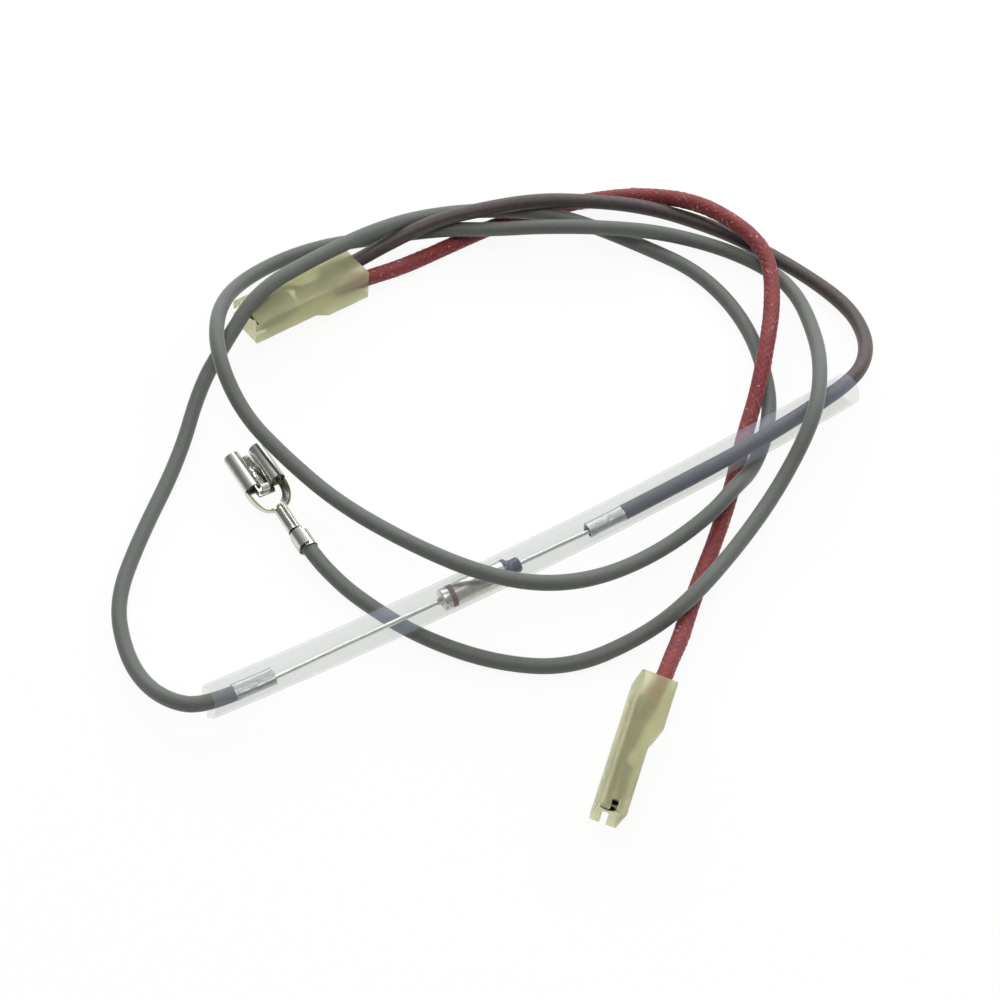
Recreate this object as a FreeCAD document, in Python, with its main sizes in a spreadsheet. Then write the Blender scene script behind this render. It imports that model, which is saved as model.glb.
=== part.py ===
import FreeCAD, Part
import math
import os

import Sketcher

# In-line thermal cut-off lead set for a boiler.  An axial cut-off and its two crimp splices lie in a
# clear sleeve; a grey and a brown lead leave the sleeve, and the brown one shares a housed receptacle
# with a red braided lead.  Everything lies on a bench.
# Millimetres, +Z up.  X runs along the sleeve's chord, Z = 0 is the bench.

SIZES = (
    ("sleeve_chord", 125.8, "straight distance between the sleeve's ends"),
    ("sleeve_bow", 2.2, "how far the middle of the sleeve bows out of line"),
    ("sleeve_outer", 5.8, "outer diameter"),
    ("sleeve_wall", 0.5, "wall thickness"),
    ("sleeve_lean", 10.0, "degrees by which the cut ends lean"),
    ("sleeve_row", -10.0, "Y of the sleeve's chord"),
    ("sleeve_rise", 6.0, "height of the sleeve's axis above the bench"),
    ("fit_gap", 0.05, "clearance between neighbouring small parts"),
    ("can_station", -14.7, "middle of the cut-off case, along the sleeve"),
    ("can_drop", 0.35, "how far the case lies below the sleeve's axis"),
    ("can_length", 12.4, "length of the metal case"),
    ("can_outer", 3.95, "outer diameter of the metal case"),
    ("can_wall", 0.3, "wall of the metal case"),
    ("can_shoulder", 0.35, "bevel at the closed end"),
    ("case_mouth", 1.3, "radius of the opening in the rolled lip"),
    ("lead_diameter", 1.0, "bare lead wires"),
    ("lead_gap", 0.12, "clearance round a lead in the bushing and the case"),
    ("rivet_radius", 0.95, "radius of the rivet flare outside the case"),
    ("rivet_length", 0.9, "length of the rivet flare"),
    ("head_radius", 0.8, "radius of both lead heads inside the case"),
    ("head_length", 0.35, "thickness of both lead heads"),
    ("pellet_length", 3.0, "thermal pellet"),
    ("disc_thickness", 0.2, "discs at both ends of the barrel spring"),
    ("star_thickness", 0.3, "star contact"),
    ("star_points", 8, "fingers of the star contact"),
    ("star_slot", 0.35, "width and depth of the gaps between fingers"),
    ("barrel_coil_radius", 1.15, "mean radius of the barrel spring"),
    ("barrel_wire", 0.28, "wire of the barrel spring"),
    ("barrel_turns", 4, "turns of the barrel spring"),
    ("trip_coil_radius", 1.15, "mean radius of the trip spring"),
    ("trip_wire", 0.2, "wire of the trip spring"),
    ("trip_turns", 4, "turns of the trip spring"),
    ("trip_length", 2.0, "length of the trip spring"),
    ("bushing_length", 2.7, "ceramic bushing inside the case"),
    ("bushing_neck", 0.4, "part of the bushing that stands out of the lip"),
    ("seal_length", 3.0, "epoxy seal outside the case"),
    ("seal_radius", 1.33, "radius of the seal's straight part"),
    ("seal_flare", 0.9, "length of the seal's flare"),
    ("splice_length", 7.0, "crimp splices"),
    ("splice_sheet", 0.35, "sheet of the crimp splices"),
    ("splice_bore", 0.65, "radius of a splice's two lobes"),
    ("splice_spread", 1.2, "distance between a splice's two lobes"),
    ("splice_drop", 0.6, "how far the splices lie below the sleeve's axis"),
    ("splice_seam", 0.3, "width of the seam where the crimp wings meet"),
    ("grey_splice_station", -54.95, "middle of the splice on the grey lead"),
    ("brown_splice_station", 10.85, "middle of the splice on the brown lead"),
    ("splice_tail", 0.4, "wire that shows past a splice"),
    ("grey_diameter", 2.7, "grey lead over its insulation"),
    ("brown_diameter", 2.7, "brown lead over its insulation"),
    ("red_diameter", 2.9, "red lead over its braid"),
    ("core_diameter", 1.05, "stripped conductor in a splice"),
    ("housing_length", 24.4, "receptacle housings"),
    ("housing_width", 7.5, "along the width of the tab"),
    ("housing_rear", 6.2, "thickness over the bulged rear"),
    ("housing_front", 4.7, "thickness at the mouth"),
    ("bulge_length", 8.75, "length of the bulged rear"),
    ("slope_length", 2.75, "length of the slope between rear and front"),
    ("housing_wall", 0.6, "broad walls"),
    ("side_wall", 0.45, "narrow walls"),
    ("mouth_slot", 1.1, "width of the slots in the narrow walls"),
    ("mouth_slot_depth", 2.0, "depth of these slots"),
    ("mouth_setback", 0.8, "how far the straight broad wall stops short"),
    ("corner_round", 0.35, "rounding of the long edges"),
    ("seat_gap", 0.1, "between a housed receptacle and the wall it lies on"),
    ("mouth_inset", 1.1, "how far a housed receptacle lies inside the mouth"),
    ("roll_clearance", 0.35, "between a housed receptacle's rolls and a narrow wall"),
    ("housed_tall", 3.0, "height of a 4.8 series receptacle over its rolls"),
    ("housed_sheet", 0.3, "its sheet"),
    ("housed_rolls", 6.4, "length of its rolls"),
    ("housed_window", 4.0, "length of its open transition"),
    ("housed_crimp", 4.6, "length of its conductor crimp"),
    ("housed_bore", 1.1, "bore radius of its conductor crimp"),
    ("housed_neck", 1.0, "strip between its two crimps"),
    ("housed_grip", 3.0, "length of its insulation grip"),
    ("pair_core", 1.0, "each stripped conductor in the shared crimp"),
    ("single_core", 1.3, "stripped conductor of the red lead"),
    ("bare_width", 7.2, "6.3 series receptacle over its rolls"),
    ("bare_tall", 3.0, "height over its rolls"),
    ("bare_sheet", 0.4, "its sheet"),
    ("bare_rolls", 8.0, "length of its rolls"),
    ("bare_window", 5.2, "length of its open transition"),
    ("bare_crimp", 5.7, "length of its conductor crimp"),
    ("bare_bore", 0.8, "bore radius of its conductor crimp"),
    ("bare_neck", 1.5, "strip between its two crimps"),
    ("bare_grip", 3.2, "length of its insulation grip"),
    ("bare_core", 1.4, "stripped conductor in the bare receptacle"),
    ("core_tip", 0.6, "how far the conductors may show past a conductor crimp"),
    ("tab_gap", 0.85, "room for the tab under the rolls"),
    ("strip_proud", 0.02, "how far a receptacle's strip lies below its rolls and crimps"),
)

# Where the free pieces lie: X, Y of the reference point, then yaw, pitch and roll in degrees.
PAIR_HOUSING_AT = (1.4, 58.2, 187.0, -7.7, 3.6)
SINGLE_HOUSING_AT = (-1.1, -41.35, 221.9, 6.5, 75.9)
BARE_RECEPTACLE_AT = (-34.1, 10.0, 93.9)

GREY_ROUTE = [
    (-58.5, -10.3, 5.4), (-64.3, -10.1, 5.6), (-68.6, -7.3, 4.5), (-71.2, -0.5, 2.4),
    (-70.6, 8, 1.4), (-67, 17.5, 1.4), (-58.5, 26.5, 1.4), (-45, 38.5, 1.6), (-35, 48.5, 4.4),
    (-27.5, 52.5, 8.6), (-18.5, 57.5, 14), (-5.5, 60.5, 13), (9.5, 62.7, 9.3), (23, 62.7, 3.8),
    (31.5, 56.5, 4.8), (37, 51, 5.3), (42, 46.5, 4.2), (49.5, 38.5, 1.4), (56, 27.5, 1.4),
    (57, 13.5, 1.4), (52.5, -0.5, 1.4), (47, -8.5, 1.4), (40, -14, 1.5), (33.5, -17.5, 5.5),
    (27, -19.5, 5.6), (16.5, -21, 5.5), (4, -22.5, 11), (-6.5, -20.8, 14.8), (-14.5, -14, 14.8),
    (-20.5, -1, 9), (-26, 14.5, 6), (-29.5, 27, 8.4), (-32.5, 37.5, 9.6), (-31.5, 48.5, 13.6),
    (-25.5, 60.5, 9.8), (-16, 68, 2.8), (-3, 69.5, 1.4), (10.5, 64, 1.4), (19.5, 58, 4.6),
    (27, 53, 5.2), (34.5, 48, 6.5), (43.5, 41.5, 7.6), (55, 37, 3.6), (65, 27.5, 1.4),
    (68.5, 16, 2.6), (62.5, 0.5, 10.5), (56, -9.5, 14), (50, -16, 13.8), (41, -20.5, 7.4),
    (29, -26.5, 5), (15, -32.5, 6.2), (5.5, -32.5, 2.4), (-7.5, -31.5, 1.4), (-18, -24.5, 1.4),
    (-26.5, -13.5, 1.4), (-31.5, -2, 1.4), (-33.5, 4, 1.6), (-34, 8.5, 1.82), (-34.26, 12.3, 1.82),
]
BROWN_ROUTE = [
    (14.4, -12.1, 5.4), (25.5, -12, 5.8), (38, -11.8, 6.4), (51.5, -10.9, 6.4), (62, -9.9, 6.3),
    (68, -6.9, 5.4), (72.2, -1, 3.6), (74.5, 7.5, 1.8), (72, 18.5, 1.4), (66.5, 31.5, 1.4),
    (61, 39.5, 1.7), (53.5, 45, 3.8), (44.5, 49.3, 6.5), (35.3, 54, 8), (26, 57.5, 7.6),
    (18, 59.7, 7.1), (9.5, 60.2, 5.2), (2.8, 59.9, 4.2), (-3.6, 58.9, 4.4),
]
RED_ROUTE = [
    (-3.3, 56, 4.4), (2.2, 56.2, 3.2), (9, 55.7, 2.2), (17, 56.5, 1.5), (28.5, 57, 1.5),
    (39.5, 55.5, 1.5), (47.5, 53.5, 1.5), (56, 49, 3), (61.5, 41, 5.1), (64.5, 33.5, 5.8),
    (66.5, 26, 6), (65.5, 20, 5.2), (60.5, 12, 5.2), (54.5, 5, 5.4), (49, -1, 3.6), (43, -6, 1.5),
    (34, -15.5, 1.5), (26, -23, 1.5), (17, -30.5, 1.5), (10.3, -36.4, 3), (5.4, -40.2, 5.2),
    (1.6, -42.8, 6.35), (-1.49, -44.98, 6.51), (-3.71, -46.97, 6.17),
]
HOUSED_WIDTH = "(housing_width - 2 * side_wall - 2 * roll_clearance)"
GRIP_ROOM = "(housing_width - 2 * side_wall - 2 * fit_gap - 2 * housed_sheet)"
ARC_SHARE = 0.45          # share of the shorter run that each arc of a cord takes
SPARE = 5.0               # how far cutting outlines run past what they cut

os.makedirs("parts", exist_ok=True)
doc = FreeCAD.newDocument("cutoff_lead_set")
sheet = doc.addObject("Spreadsheet::Sheet", "Sizes")
for line, (alias, size, note) in enumerate(SIZES, start=1):
    sheet.set("A%d" % line, alias)
    sheet.set("B%d" % line, str(size))
    sheet.set("C%d" % line, note)
    sheet.setAlias("B%d" % line, alias)
doc.recompute()
size_of = {alias: float(sheet.get(alias)) for alias, size, note in SIZES}
nodes = []


def linked(expression):
    """Return the expression with each size name pointing at its cell."""
    words, word = [], ""
    for letter in expression + " ":
        if letter.isalnum() or letter in "_.":
            word += letter
            continue
        words.append("Sizes." + word if word in size_of else word)
        words.append(letter)
        word = ""
    return "".join(words).strip()


def value(expression):
    """Return what an expression of size names comes to."""
    found = sheet.evalExpression(linked(expression))
    return float(getattr(found, "Value", found))


def named(item, label):
    """Give a finished piece its name and list it as a node."""
    item.Label = label
    nodes.append(item)
    return item


# ---------------------------------------------------------------- sketches and features

def new_body(name):
    return doc.addObject("PartDesign::Body", name)


def origin_item(body, role):
    return next(item for item in body.Origin.OriginFeatures if item.Role == role)


def new_sketch(body, plane, lift="0"):
    sketch = body.newObject("Sketcher::SketchObject", "Outline")
    sketch.AttachmentSupport = [(origin_item(body, plane), "")]
    sketch.MapMode = "FlatFace"
    sketch.setExpression(".AttachmentOffset.Base.z", linked(lift))
    return sketch


def hold(sketch, kind, place, expression):
    """Fix one coordinate of a sketch point, from the sketch's origin, to an expression."""
    if expression == "0":
        axis = -2 if kind == "DistanceX" else -1
        sketch.addConstraint(Sketcher.Constraint("PointOnObject", place[0], place[1], axis))
        return
    index = sketch.addConstraint(
        Sketcher.Constraint(kind, -1, 1, place[0], place[1], value(expression)))
    sketch.setExpression("Constraints[%d]" % index, linked(expression))


def outline(body, plane, corners, lift="0"):
    """Sketch a closed polygon whose corners are pairs of expressions."""
    sketch = new_sketch(body, plane, lift)
    places = [FreeCAD.Vector(value(across), value(up), 0) for across, up in corners]
    count = len(places)
    for number in range(count):
        sketch.addGeometry(Part.LineSegment(places[number], places[(number + 1) % count]))
    for number in range(count):
        sketch.addConstraint(Sketcher.Constraint("Coincident", number, 2, (number + 1) % count, 1))
    for number, (across, up) in enumerate(corners):
        hold(sketch, "DistanceX", (number, 1), across)
        hold(sketch, "DistanceY", (number, 1), up)
    return sketch


def rings(body, plane, across, up, radii, lift="0"):
    """Sketch circles of the given radii about one centre."""
    sketch = new_sketch(body, plane, lift)
    centre = FreeCAD.Vector(value(across), value(up), 0)
    for number, radius in enumerate(radii):
        sketch.addGeometry(Part.Circle(centre, FreeCAD.Vector(0, 0, 1), value(radius)))
        hold(sketch, "DistanceX", (number, 3), across)
        hold(sketch, "DistanceY", (number, 3), up)
        index = sketch.addConstraint(Sketcher.Constraint("Radius", number, value(radius)))
        sketch.setExpression("Constraints[%d]" % index, linked(radius))
    return sketch


def pad(body, sketch, length, both_ways=False):
    feature = body.newObject("PartDesign::Pad", "Pad")
    feature.Profile = sketch
    feature.setExpression("Length", linked(length))
    if both_ways:
        feature.SideType = "Symmetric"
    return feature


def pocket(body, sketch, length):
    """Cut the sketch's shape out of the body, half the length to each side."""
    feature = body.newObject("PartDesign::Pocket", "Pocket")
    feature.Profile = sketch
    feature.setExpression("Length", linked(length))
    feature.SideType = "Symmetric"
    return feature


def turned(label, corners, place):
    """Make a piece turned about its own X axis from a half section of (x, radius) corners."""
    body = new_body(label)
    sketch = outline(body, "XY_Plane", corners)
    feature = body.newObject("PartDesign::Revolution", "Turned")
    feature.Profile = sketch
    feature.ReferenceAxis = (sketch, ["H_Axis"])
    feature.Angle = 360
    body.Placement = place
    return named(body, label)


def coil(label, start, length, mean_radius, wire, turns, place):
    """Make a coil spring of round wire about its own X axis."""
    body = new_body(label)
    sketch = rings(body, "XY_Plane", "%s + %s / 2" % (start, wire), mean_radius, ["%s / 2" % wire])
    feature = body.newObject("PartDesign::AdditiveHelix", "Coil")
    feature.Profile = sketch
    feature.ReferenceAxis = (sketch, ["H_Axis"])
    feature.Mode = "height-turns-angle"
    feature.setExpression("Height", linked("%s - %s" % (length, wire)))
    feature.setExpression("Turns", linked(turns))
    body.Placement = place
    return named(body, label)


def primitive(kind, *spots, **sizes):
    """Add a Part primitive; spots are the x, y, z expressions of its origin."""
    item = doc.addObject("Part::" + kind, kind)
    for name, expression in sizes.items():
        item.setExpression(name, linked(expression))
    for axis, expression in zip("xyz", spots):
        item.setExpression(".Placement.Base." + axis, linked(expression))
    return item


def along_x(item):
    """Lay a cylinder along X."""
    item.Placement.Rotation = FreeCAD.Rotation(FreeCAD.Vector(0, 1, 0), 90)
    return item


def rod(x, y, z, radius, length):
    return along_x(primitive("Cylinder", x, y, z, Radius=radius, Height=length))


def block(x, y, z, length, width, height):
    """Add a box; y is the middle of its width."""
    return primitive("Box", x, "%s - (%s) / 2" % (y, width), z, Length=length, Width=width, Height=height)


def joined(*items):
    fuse = doc.addObject("Part::MultiFuse", "Joined")
    fuse.Shapes = list(items)
    fuse.Refine = True
    return fuse


def cut(base, tool):
    item = doc.addObject("Part::Cut", "Cut")
    item.Base = base
    item.Tool = tool
    item.Refine = True
    return item


# ---------------------------------------------------------------- cords

def cord_path(points):
    """Return a wire of straight runs joined by tangent arcs, and the arcs' radii."""
    spots = [FreeCAD.Vector(*point) for point in points]
    edges, radii, last = [], [], spots[0]
    for before, here, after in zip(spots, spots[1:], spots[2:]):
        run_in, run_out = here - before, after - here
        half_turn = run_in.getAngle(run_out) / 2
        reach = ARC_SHARE * min(run_in.Length, run_out.Length)
        radius = reach / math.tan(half_turn)
        radii.append(radius)
        ahead, onward = run_in.normalize(), run_out.normalize()
        start, end = here - ahead * reach, here + onward * reach
        inward = (onward - ahead).normalize()
        middle = here + inward * (radius / math.cos(half_turn) - radius)
        edges.append(Part.LineSegment(last, start).toShape())
        edges.append(Part.Arc(start, middle, end).toShape())
        last = end
    edges.append(Part.LineSegment(last, spots[-1]).toShape())
    return Part.Wire(edges), radii


def cord_shape(points, diameter):
    """Return the tube of one cord, its length and its path's radii."""
    wire, radii = cord_path(points)
    first = FreeCAD.Vector(*points[0])
    heading = FreeCAD.Vector(*points[1]) - first
    section = Part.Wire(Part.Circle(first, heading, diameter / 2).toShape())
    shape = wire.makePipeShell([section], True, False)
    expected = math.pi * diameter ** 2 / 4 * wire.Length
    if abs(shape.Volume / expected - 1) > 0.01:
        raise RuntimeError("a cord's volume is not its section times its length")
    return shape, wire.Length, radii


def cord(label, points, diameter):
    shape, length, radii = cord_shape(points, size_of[diameter])
    item = doc.addObject("Part::Feature", label)
    item.Shape = shape
    print(label, "length %.1f" % length, "smallest radius %.1f" % min(radii),
          "radii", " ".join("%.0f" % radius for radius in radii))
    return named(item, label)


# ---------------------------------------------------------------- the sleeve and its axis

chord, bow = size_of["sleeve_chord"], size_of["sleeve_bow"]
bend_radius = chord ** 2 / (8 * bow) + bow / 2
BEND = "(sleeve_chord ^ 2 / (8 * sleeve_bow) + sleeve_bow / 2)"
bend_centre = FreeCAD.Vector(0, size_of["sleeve_row"] - bow + bend_radius, size_of["sleeve_rise"])


def on_sleeve(station, drop=0.0, aside=0.0):
    """Return the place on the sleeve's axis at a distance along it from its middle."""
    turn = station / bend_radius
    reach = bend_radius - aside
    spot = bend_centre + FreeCAD.Vector(reach * math.sin(turn), -reach * math.cos(turn), -drop)
    return FreeCAD.Placement(spot, FreeCAD.Rotation(FreeCAD.Vector(0, 0, 1), math.degrees(turn)))


def aimed(start, end):
    """Return a placement at start whose X axis points at end."""
    return FreeCAD.Placement(start, FreeCAD.Rotation(FreeCAD.Vector(1, 0, 0), end - start))


def make_sleeve():
    """Bend a round tube about a far upright axis and cut both its ends aslant."""
    body = new_body("clear_sleeve")
    ring = rings(body, "YZ_Plane", BEND, "0",
                 ["sleeve_outer / 2", "sleeve_outer / 2 - sleeve_wall"])
    bent = body.newObject("PartDesign::Revolution", "Bent")
    bent.Profile = ring
    bent.ReferenceAxis = (ring, ["V_Axis"])
    bent.Midplane = True
    bent.setExpression("Angle", linked("2 * asin((sleeve_chord / 2 + %s) / %s)" % (SPARE, BEND)))
    half = "sleeve_chord / 2"
    lean = "%s * tan(sleeve_lean)" % SPARE
    for near, far, tilt in ((half, "%s + 3 * %s" % (half, SPARE), 1),
                            ("-%s" % half, "-%s - 3 * %s" % (half, SPARE), -1)):
        # the body is turned half way round, so its X runs the other way
        corners = (("%s + %s" % (near, lean), "-%s" % SPARE), ("%s - %s" % (near, lean), "%s" % SPARE),
                   (far, "%s" % SPARE), (far, "-%s" % SPARE))
        pocket(body, outline(body, "XZ_Plane", corners), "4 * %s" % BEND)
    body.Placement = FreeCAD.Placement(bend_centre, FreeCAD.Rotation(FreeCAD.Vector(0, 0, 1), 180))
    return named(body, "clear_sleeve")


# ---------------------------------------------------------------- the cut-off and its leads

def make_cutoff():
    """Build the axial cut-off: local X runs from its closed end to its sealed end."""
    middle = on_sleeve(size_of["can_station"], size_of["can_drop"])
    place = middle.multiply(FreeCAD.Placement(FreeCAD.Vector(-size_of["can_length"] / 2, 0, 0),
                                              FreeCAD.Rotation()))
    inner = "can_outer / 2 - can_wall"
    loose = "%s - fit_gap" % inner
    hole = "lead_diameter / 2 + lead_gap"
    lip = "can_length - can_wall"
    turned("cutoff_case", (
        ("0", hole), ("0", "can_outer / 2 - can_shoulder"), ("can_shoulder", "can_outer / 2"),
        ("can_length - can_wall / 2", "can_outer / 2"), ("can_length", "can_outer / 2 - can_wall / 2"),
        ("can_length", "case_mouth"), (lip, "case_mouth"), (lip, inner), ("can_wall", inner),
        ("can_wall", hole)), place)

    def slug(label, start, length):
        return turned(label, ((start, "0"), (start, loose), ("%s + %s" % (start, length), loose),
                              ("%s + %s" % (start, length), "0")), place)

    pellet = "can_wall + head_length + 3 * fit_gap"
    slug("thermal_pellet", pellet, "pellet_length")
    first_disc = "%s + pellet_length + fit_gap" % pellet
    slug("pellet_disc", first_disc, "disc_thickness")
    bushing = "%s - fit_gap - bushing_length" % lip
    star = "%s - trip_length - 2 * fit_gap - star_thickness" % bushing
    second_disc = "%s - fit_gap - disc_thickness" % star
    slug("contact_disc", second_disc, "disc_thickness")
    spring = "%s + disc_thickness + fit_gap" % first_disc
    coil("barrel_spring", spring, "%s - fit_gap - (%s)" % (second_disc, spring),
         "barrel_coil_radius", "barrel_wire", "barrel_turns", place)
    coil("trip_spring", "%s + star_thickness + fit_gap" % star, "trip_length",
         "trip_coil_radius", "trip_wire", "trip_turns", place)
    make_star(star, loose, place)

    neck = "case_mouth - fit_gap"
    turned("ceramic_bushing", (
        (bushing, hole), (bushing, loose), ("%s - fit_gap" % lip, loose), ("%s - fit_gap" % lip, neck),
        ("can_length + bushing_neck", neck), ("can_length + bushing_neck", hole)), place)
    skirt = "can_length + fit_gap"
    tip = "can_length + seal_length"
    inside = "can_length + bushing_neck + fit_gap"
    turned("epoxy_seal", (
        (skirt, "case_mouth"), (skirt, "can_outer / 2 - can_wall / 2"),
        ("can_length + seal_flare", "seal_radius + fit_gap"),
        ("%s - 0.2" % tip, "seal_radius + fit_gap"), (tip, "seal_radius - 0.2"), (tip, hole),
        (inside, hole), (inside, "case_mouth")), place)

    # each lead passes through the middle of its splice's own lobe and shows just past it
    grey_lobe = on_sleeve(size_of["grey_splice_station"], size_of["splice_drop"],
                          -size_of["splice_spread"] / 2).Base
    brown_lobe = on_sleeve(size_of["brown_splice_station"], size_of["splice_drop"],
                           -size_of["splice_spread"] / 2).Base
    past_lobe = size_of["splice_length"] / 2 - size_of["splice_tail"]
    closed_end = place.Base
    shaft = "lead_diameter / 2"
    length = (grey_lobe - closed_end).Length + past_lobe
    turned("case_lead", (
        ("-can_wall - fit_gap - head_length", "0"), ("-can_wall - fit_gap - head_length", "head_radius"),
        ("-can_wall - fit_gap", "head_radius"), ("-can_wall - fit_gap", shaft), ("fit_gap", shaft),
        ("fit_gap", "rivet_radius"), ("rivet_length", shaft), ("%.6f" % length, shaft),
        ("%.6f" % length, "0")), aimed(closed_end, grey_lobe))
    head = value("%s + star_thickness + fit_gap" % star)
    touch = place.multVec(FreeCAD.Vector(head, 0, 0))
    length = (brown_lobe - touch).Length + past_lobe
    turned("isolated_lead", (
        ("0", "0"), ("0", "head_radius"), ("head_length", "head_radius"), ("head_length", shaft),
        ("%.6f" % length, shaft), ("%.6f" % length, "0")), aimed(touch, brown_lobe))


def make_star(start, radius, place):
    """Build the star contact: a disc with gaps between its rim's fingers."""
    body = new_body("star_contact")
    pad(body, rings(body, "YZ_Plane", "0", "0", [radius], start), "star_thickness")
    half = "star_slot / 2"
    notch = outline(body, "YZ_Plane", (
        ("-%s" % half, "%s - star_slot" % radius), (half, "%s - star_slot" % radius),
        (half, "%s + star_slot" % radius), ("-%s" % half, "%s + star_slot" % radius)), start)
    gap = pocket(body, notch, "3 * star_thickness")
    pattern = body.newObject("PartDesign::PolarPattern", "Fingers")
    pattern.Originals = [gap]
    pattern.Axis = (origin_item(body, "X_Axis"), [""])
    pattern.Angle = 360
    pattern.setExpression("Occurrences", linked("star_points"))
    body.Tip = pattern
    body.Placement = place
    return named(body, "star_contact")


# ---------------------------------------------------------------- crimp splices

def lobes(radius, start, length):
    """Return a bar whose section is two round lobes side by side."""
    half = "splice_spread / 2"
    return joined(rod(start, half, "0", radius, length), rod(start, "-" + half, "0", radius, length),
                  block(start, "0", "-(%s)" % radius, length, "splice_spread", "2 * (%s)" % radius))


def make_splice(label, station, core_label, route):
    """Build a two-lobed crimp and the stripped conductor in it."""
    outer = "splice_bore + splice_sheet"
    ring = cut(lobes(outer, "-splice_length / 2", "splice_length"),
               lobes("splice_bore", "-splice_length / 2 - 1", "splice_length + 2"))
    seam = block("-splice_length / 2 - 1", "0", "splice_bore + splice_sheet / 2",
                 "splice_length + 2", "splice_seam", "splice_sheet")
    crimp = cut(ring, seam)
    place = on_sleeve(size_of[station], size_of["splice_drop"])
    crimp.Placement = place
    named(crimp, label)
    # the conductor starts at the insulation's end and stops just past the crimp's far mouth
    side = 1 if size_of[station] > 0 else -1
    start = place.inverse().multVec(FreeCAD.Vector(*route[0])).x - side * size_of["fit_gap"]
    reach = abs(start) + size_of["splice_length"] / 2 + size_of["splice_tail"]
    first = start if side < 0 else start - reach
    core_place = place.multiply(FreeCAD.Placement(
        FreeCAD.Vector(first, size_of["splice_spread"] / 2, 0), FreeCAD.Rotation()))
    length = "%.6f" % reach
    turned(core_label, (("0", "0"), ("0", "core_diameter / 2"), (length, "core_diameter / 2"),
                        (length, "0")), core_place)


# ---------------------------------------------------------------- receptacles and housings

def make_receptacle(kind, label, width, grip, place):
    """Build a receptacle: local X runs from its wire end to its mouth, its base lies at Z = 0.

    width is the expression of its width over its rolls, and grip that of the bore radius of a round
    insulation grip, or None for the wide grip that holds two leads.
    """
    def own(name):
        return "%s_%s" % (kind, name)

    sheet_of, tall = own("sheet"), own("tall")
    crimp_at = "(%s + %s)" % (own("grip"), own("neck"))
    window_at = "(%s + %s)" % (crimp_at, own("crimp"))
    rolls_at = "(%s + %s)" % (window_at, own("window"))
    roll = "%s / 2" % tall
    aside = "(%s / 2 - %s)" % (width, roll)
    base = block(rolls_at, "0", "0", own("rolls"), "2 * (%s + %s)" % (aside, sheet_of), sheet_of)
    solids = [base]
    for sign in ("", "-"):
        middle = "%s%s" % (sign, aside)
        high = "%s + strip_proud" % roll
        tube = cut(rod(rolls_at, middle, high, roll, own("rolls")),
                   rod("%s - 1" % rolls_at, middle, high, "%s - %s" % (roll, sheet_of),
                       "%s + 2" % own("rolls")))
        # each roll stops above the base, so that the tab slides in under both free edges
        inner_side = "%s(%s - %s / 2)" % (sign, aside, roll)
        mouth = block("%s - 1" % rolls_at, inner_side, sheet_of, "%s + 2" % own("rolls"), roll, "tab_gap")
        solids.append(cut(tube, mouth))
    # the open transition: a U of upright strip round the wire end
    bend = "(%s / 2 - %s - 0.1)" % (width, sheet_of)
    bend_at = "(%s + core_tip + %s)" % (window_at, bend)
    hoop = cut(primitive("Cylinder", bend_at, "0", "0", Radius=bend, Height=roll),
               primitive("Cylinder", bend_at, "0", "-1", Radius="%s - %s" % (bend, sheet_of),
                         Height="%s + 2" % roll))
    solids.append(cut(hoop, block(bend_at, "0", "-1", "2 * %s" % bend, "3 * %s" % bend,
                                  "%s + 2" % roll)))
    for sign in ("", "-"):
        solids.append(block(bend_at, "%s(%s - %s / 2)" % (sign, bend, sheet_of), "0",
                            "%s - %s + 0.2" % (rolls_at, bend_at), sheet_of, roll))
    # the conductor crimp with its seam, and the strip that joins all
    outer = "(%s + %s)" % (own("bore"), sheet_of)
    high = "%s + strip_proud" % outer
    crimp = cut(rod(crimp_at, "0", high, outer, own("crimp")),
                rod("%s - 1" % crimp_at, "0", high, own("bore"), "%s + 3" % own("crimp")))
    seam = block("%s - 1" % crimp_at, "0", "2 * %s - %s / 2" % (outer, sheet_of),
                 "%s + 3" % own("crimp"), "0.3", sheet_of)
    solids.append(cut(crimp, seam))
    solids.append(block("0", "0", "0", "%s + core_tip + %s / 2" % (window_at, sheet_of), outer, sheet_of))
    if grip:
        grip_outer = "(%s + %s)" % (grip, sheet_of)
        high = "%s + strip_proud" % grip_outer
        band = cut(rod("0", "0", high, grip_outer, own("grip")),
                   rod("-1", "0", high, grip, "%s + 2" % own("grip")))
        gap = block("-1", "0", "2 * %s - 1.5 * %s" % (grip_outer, sheet_of), "%s + 2" % own("grip"),
                    "0.5", "2 * %s" % sheet_of)
        solids.append(cut(band, gap))
    else:
        wide = "%s + 2 * %s" % (GRIP_ROOM, sheet_of)
        rise = "%s + red_diameter" % sheet_of
        channel = cut(block("0", "0", "0", own("grip"), wide, rise),
                      block("-1", "0", sheet_of, "%s + 2" % own("grip"), GRIP_ROOM, rise))
        solids.append(channel)
    item = joined(*solids)
    item.Placement = place
    return named(item, label)


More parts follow.
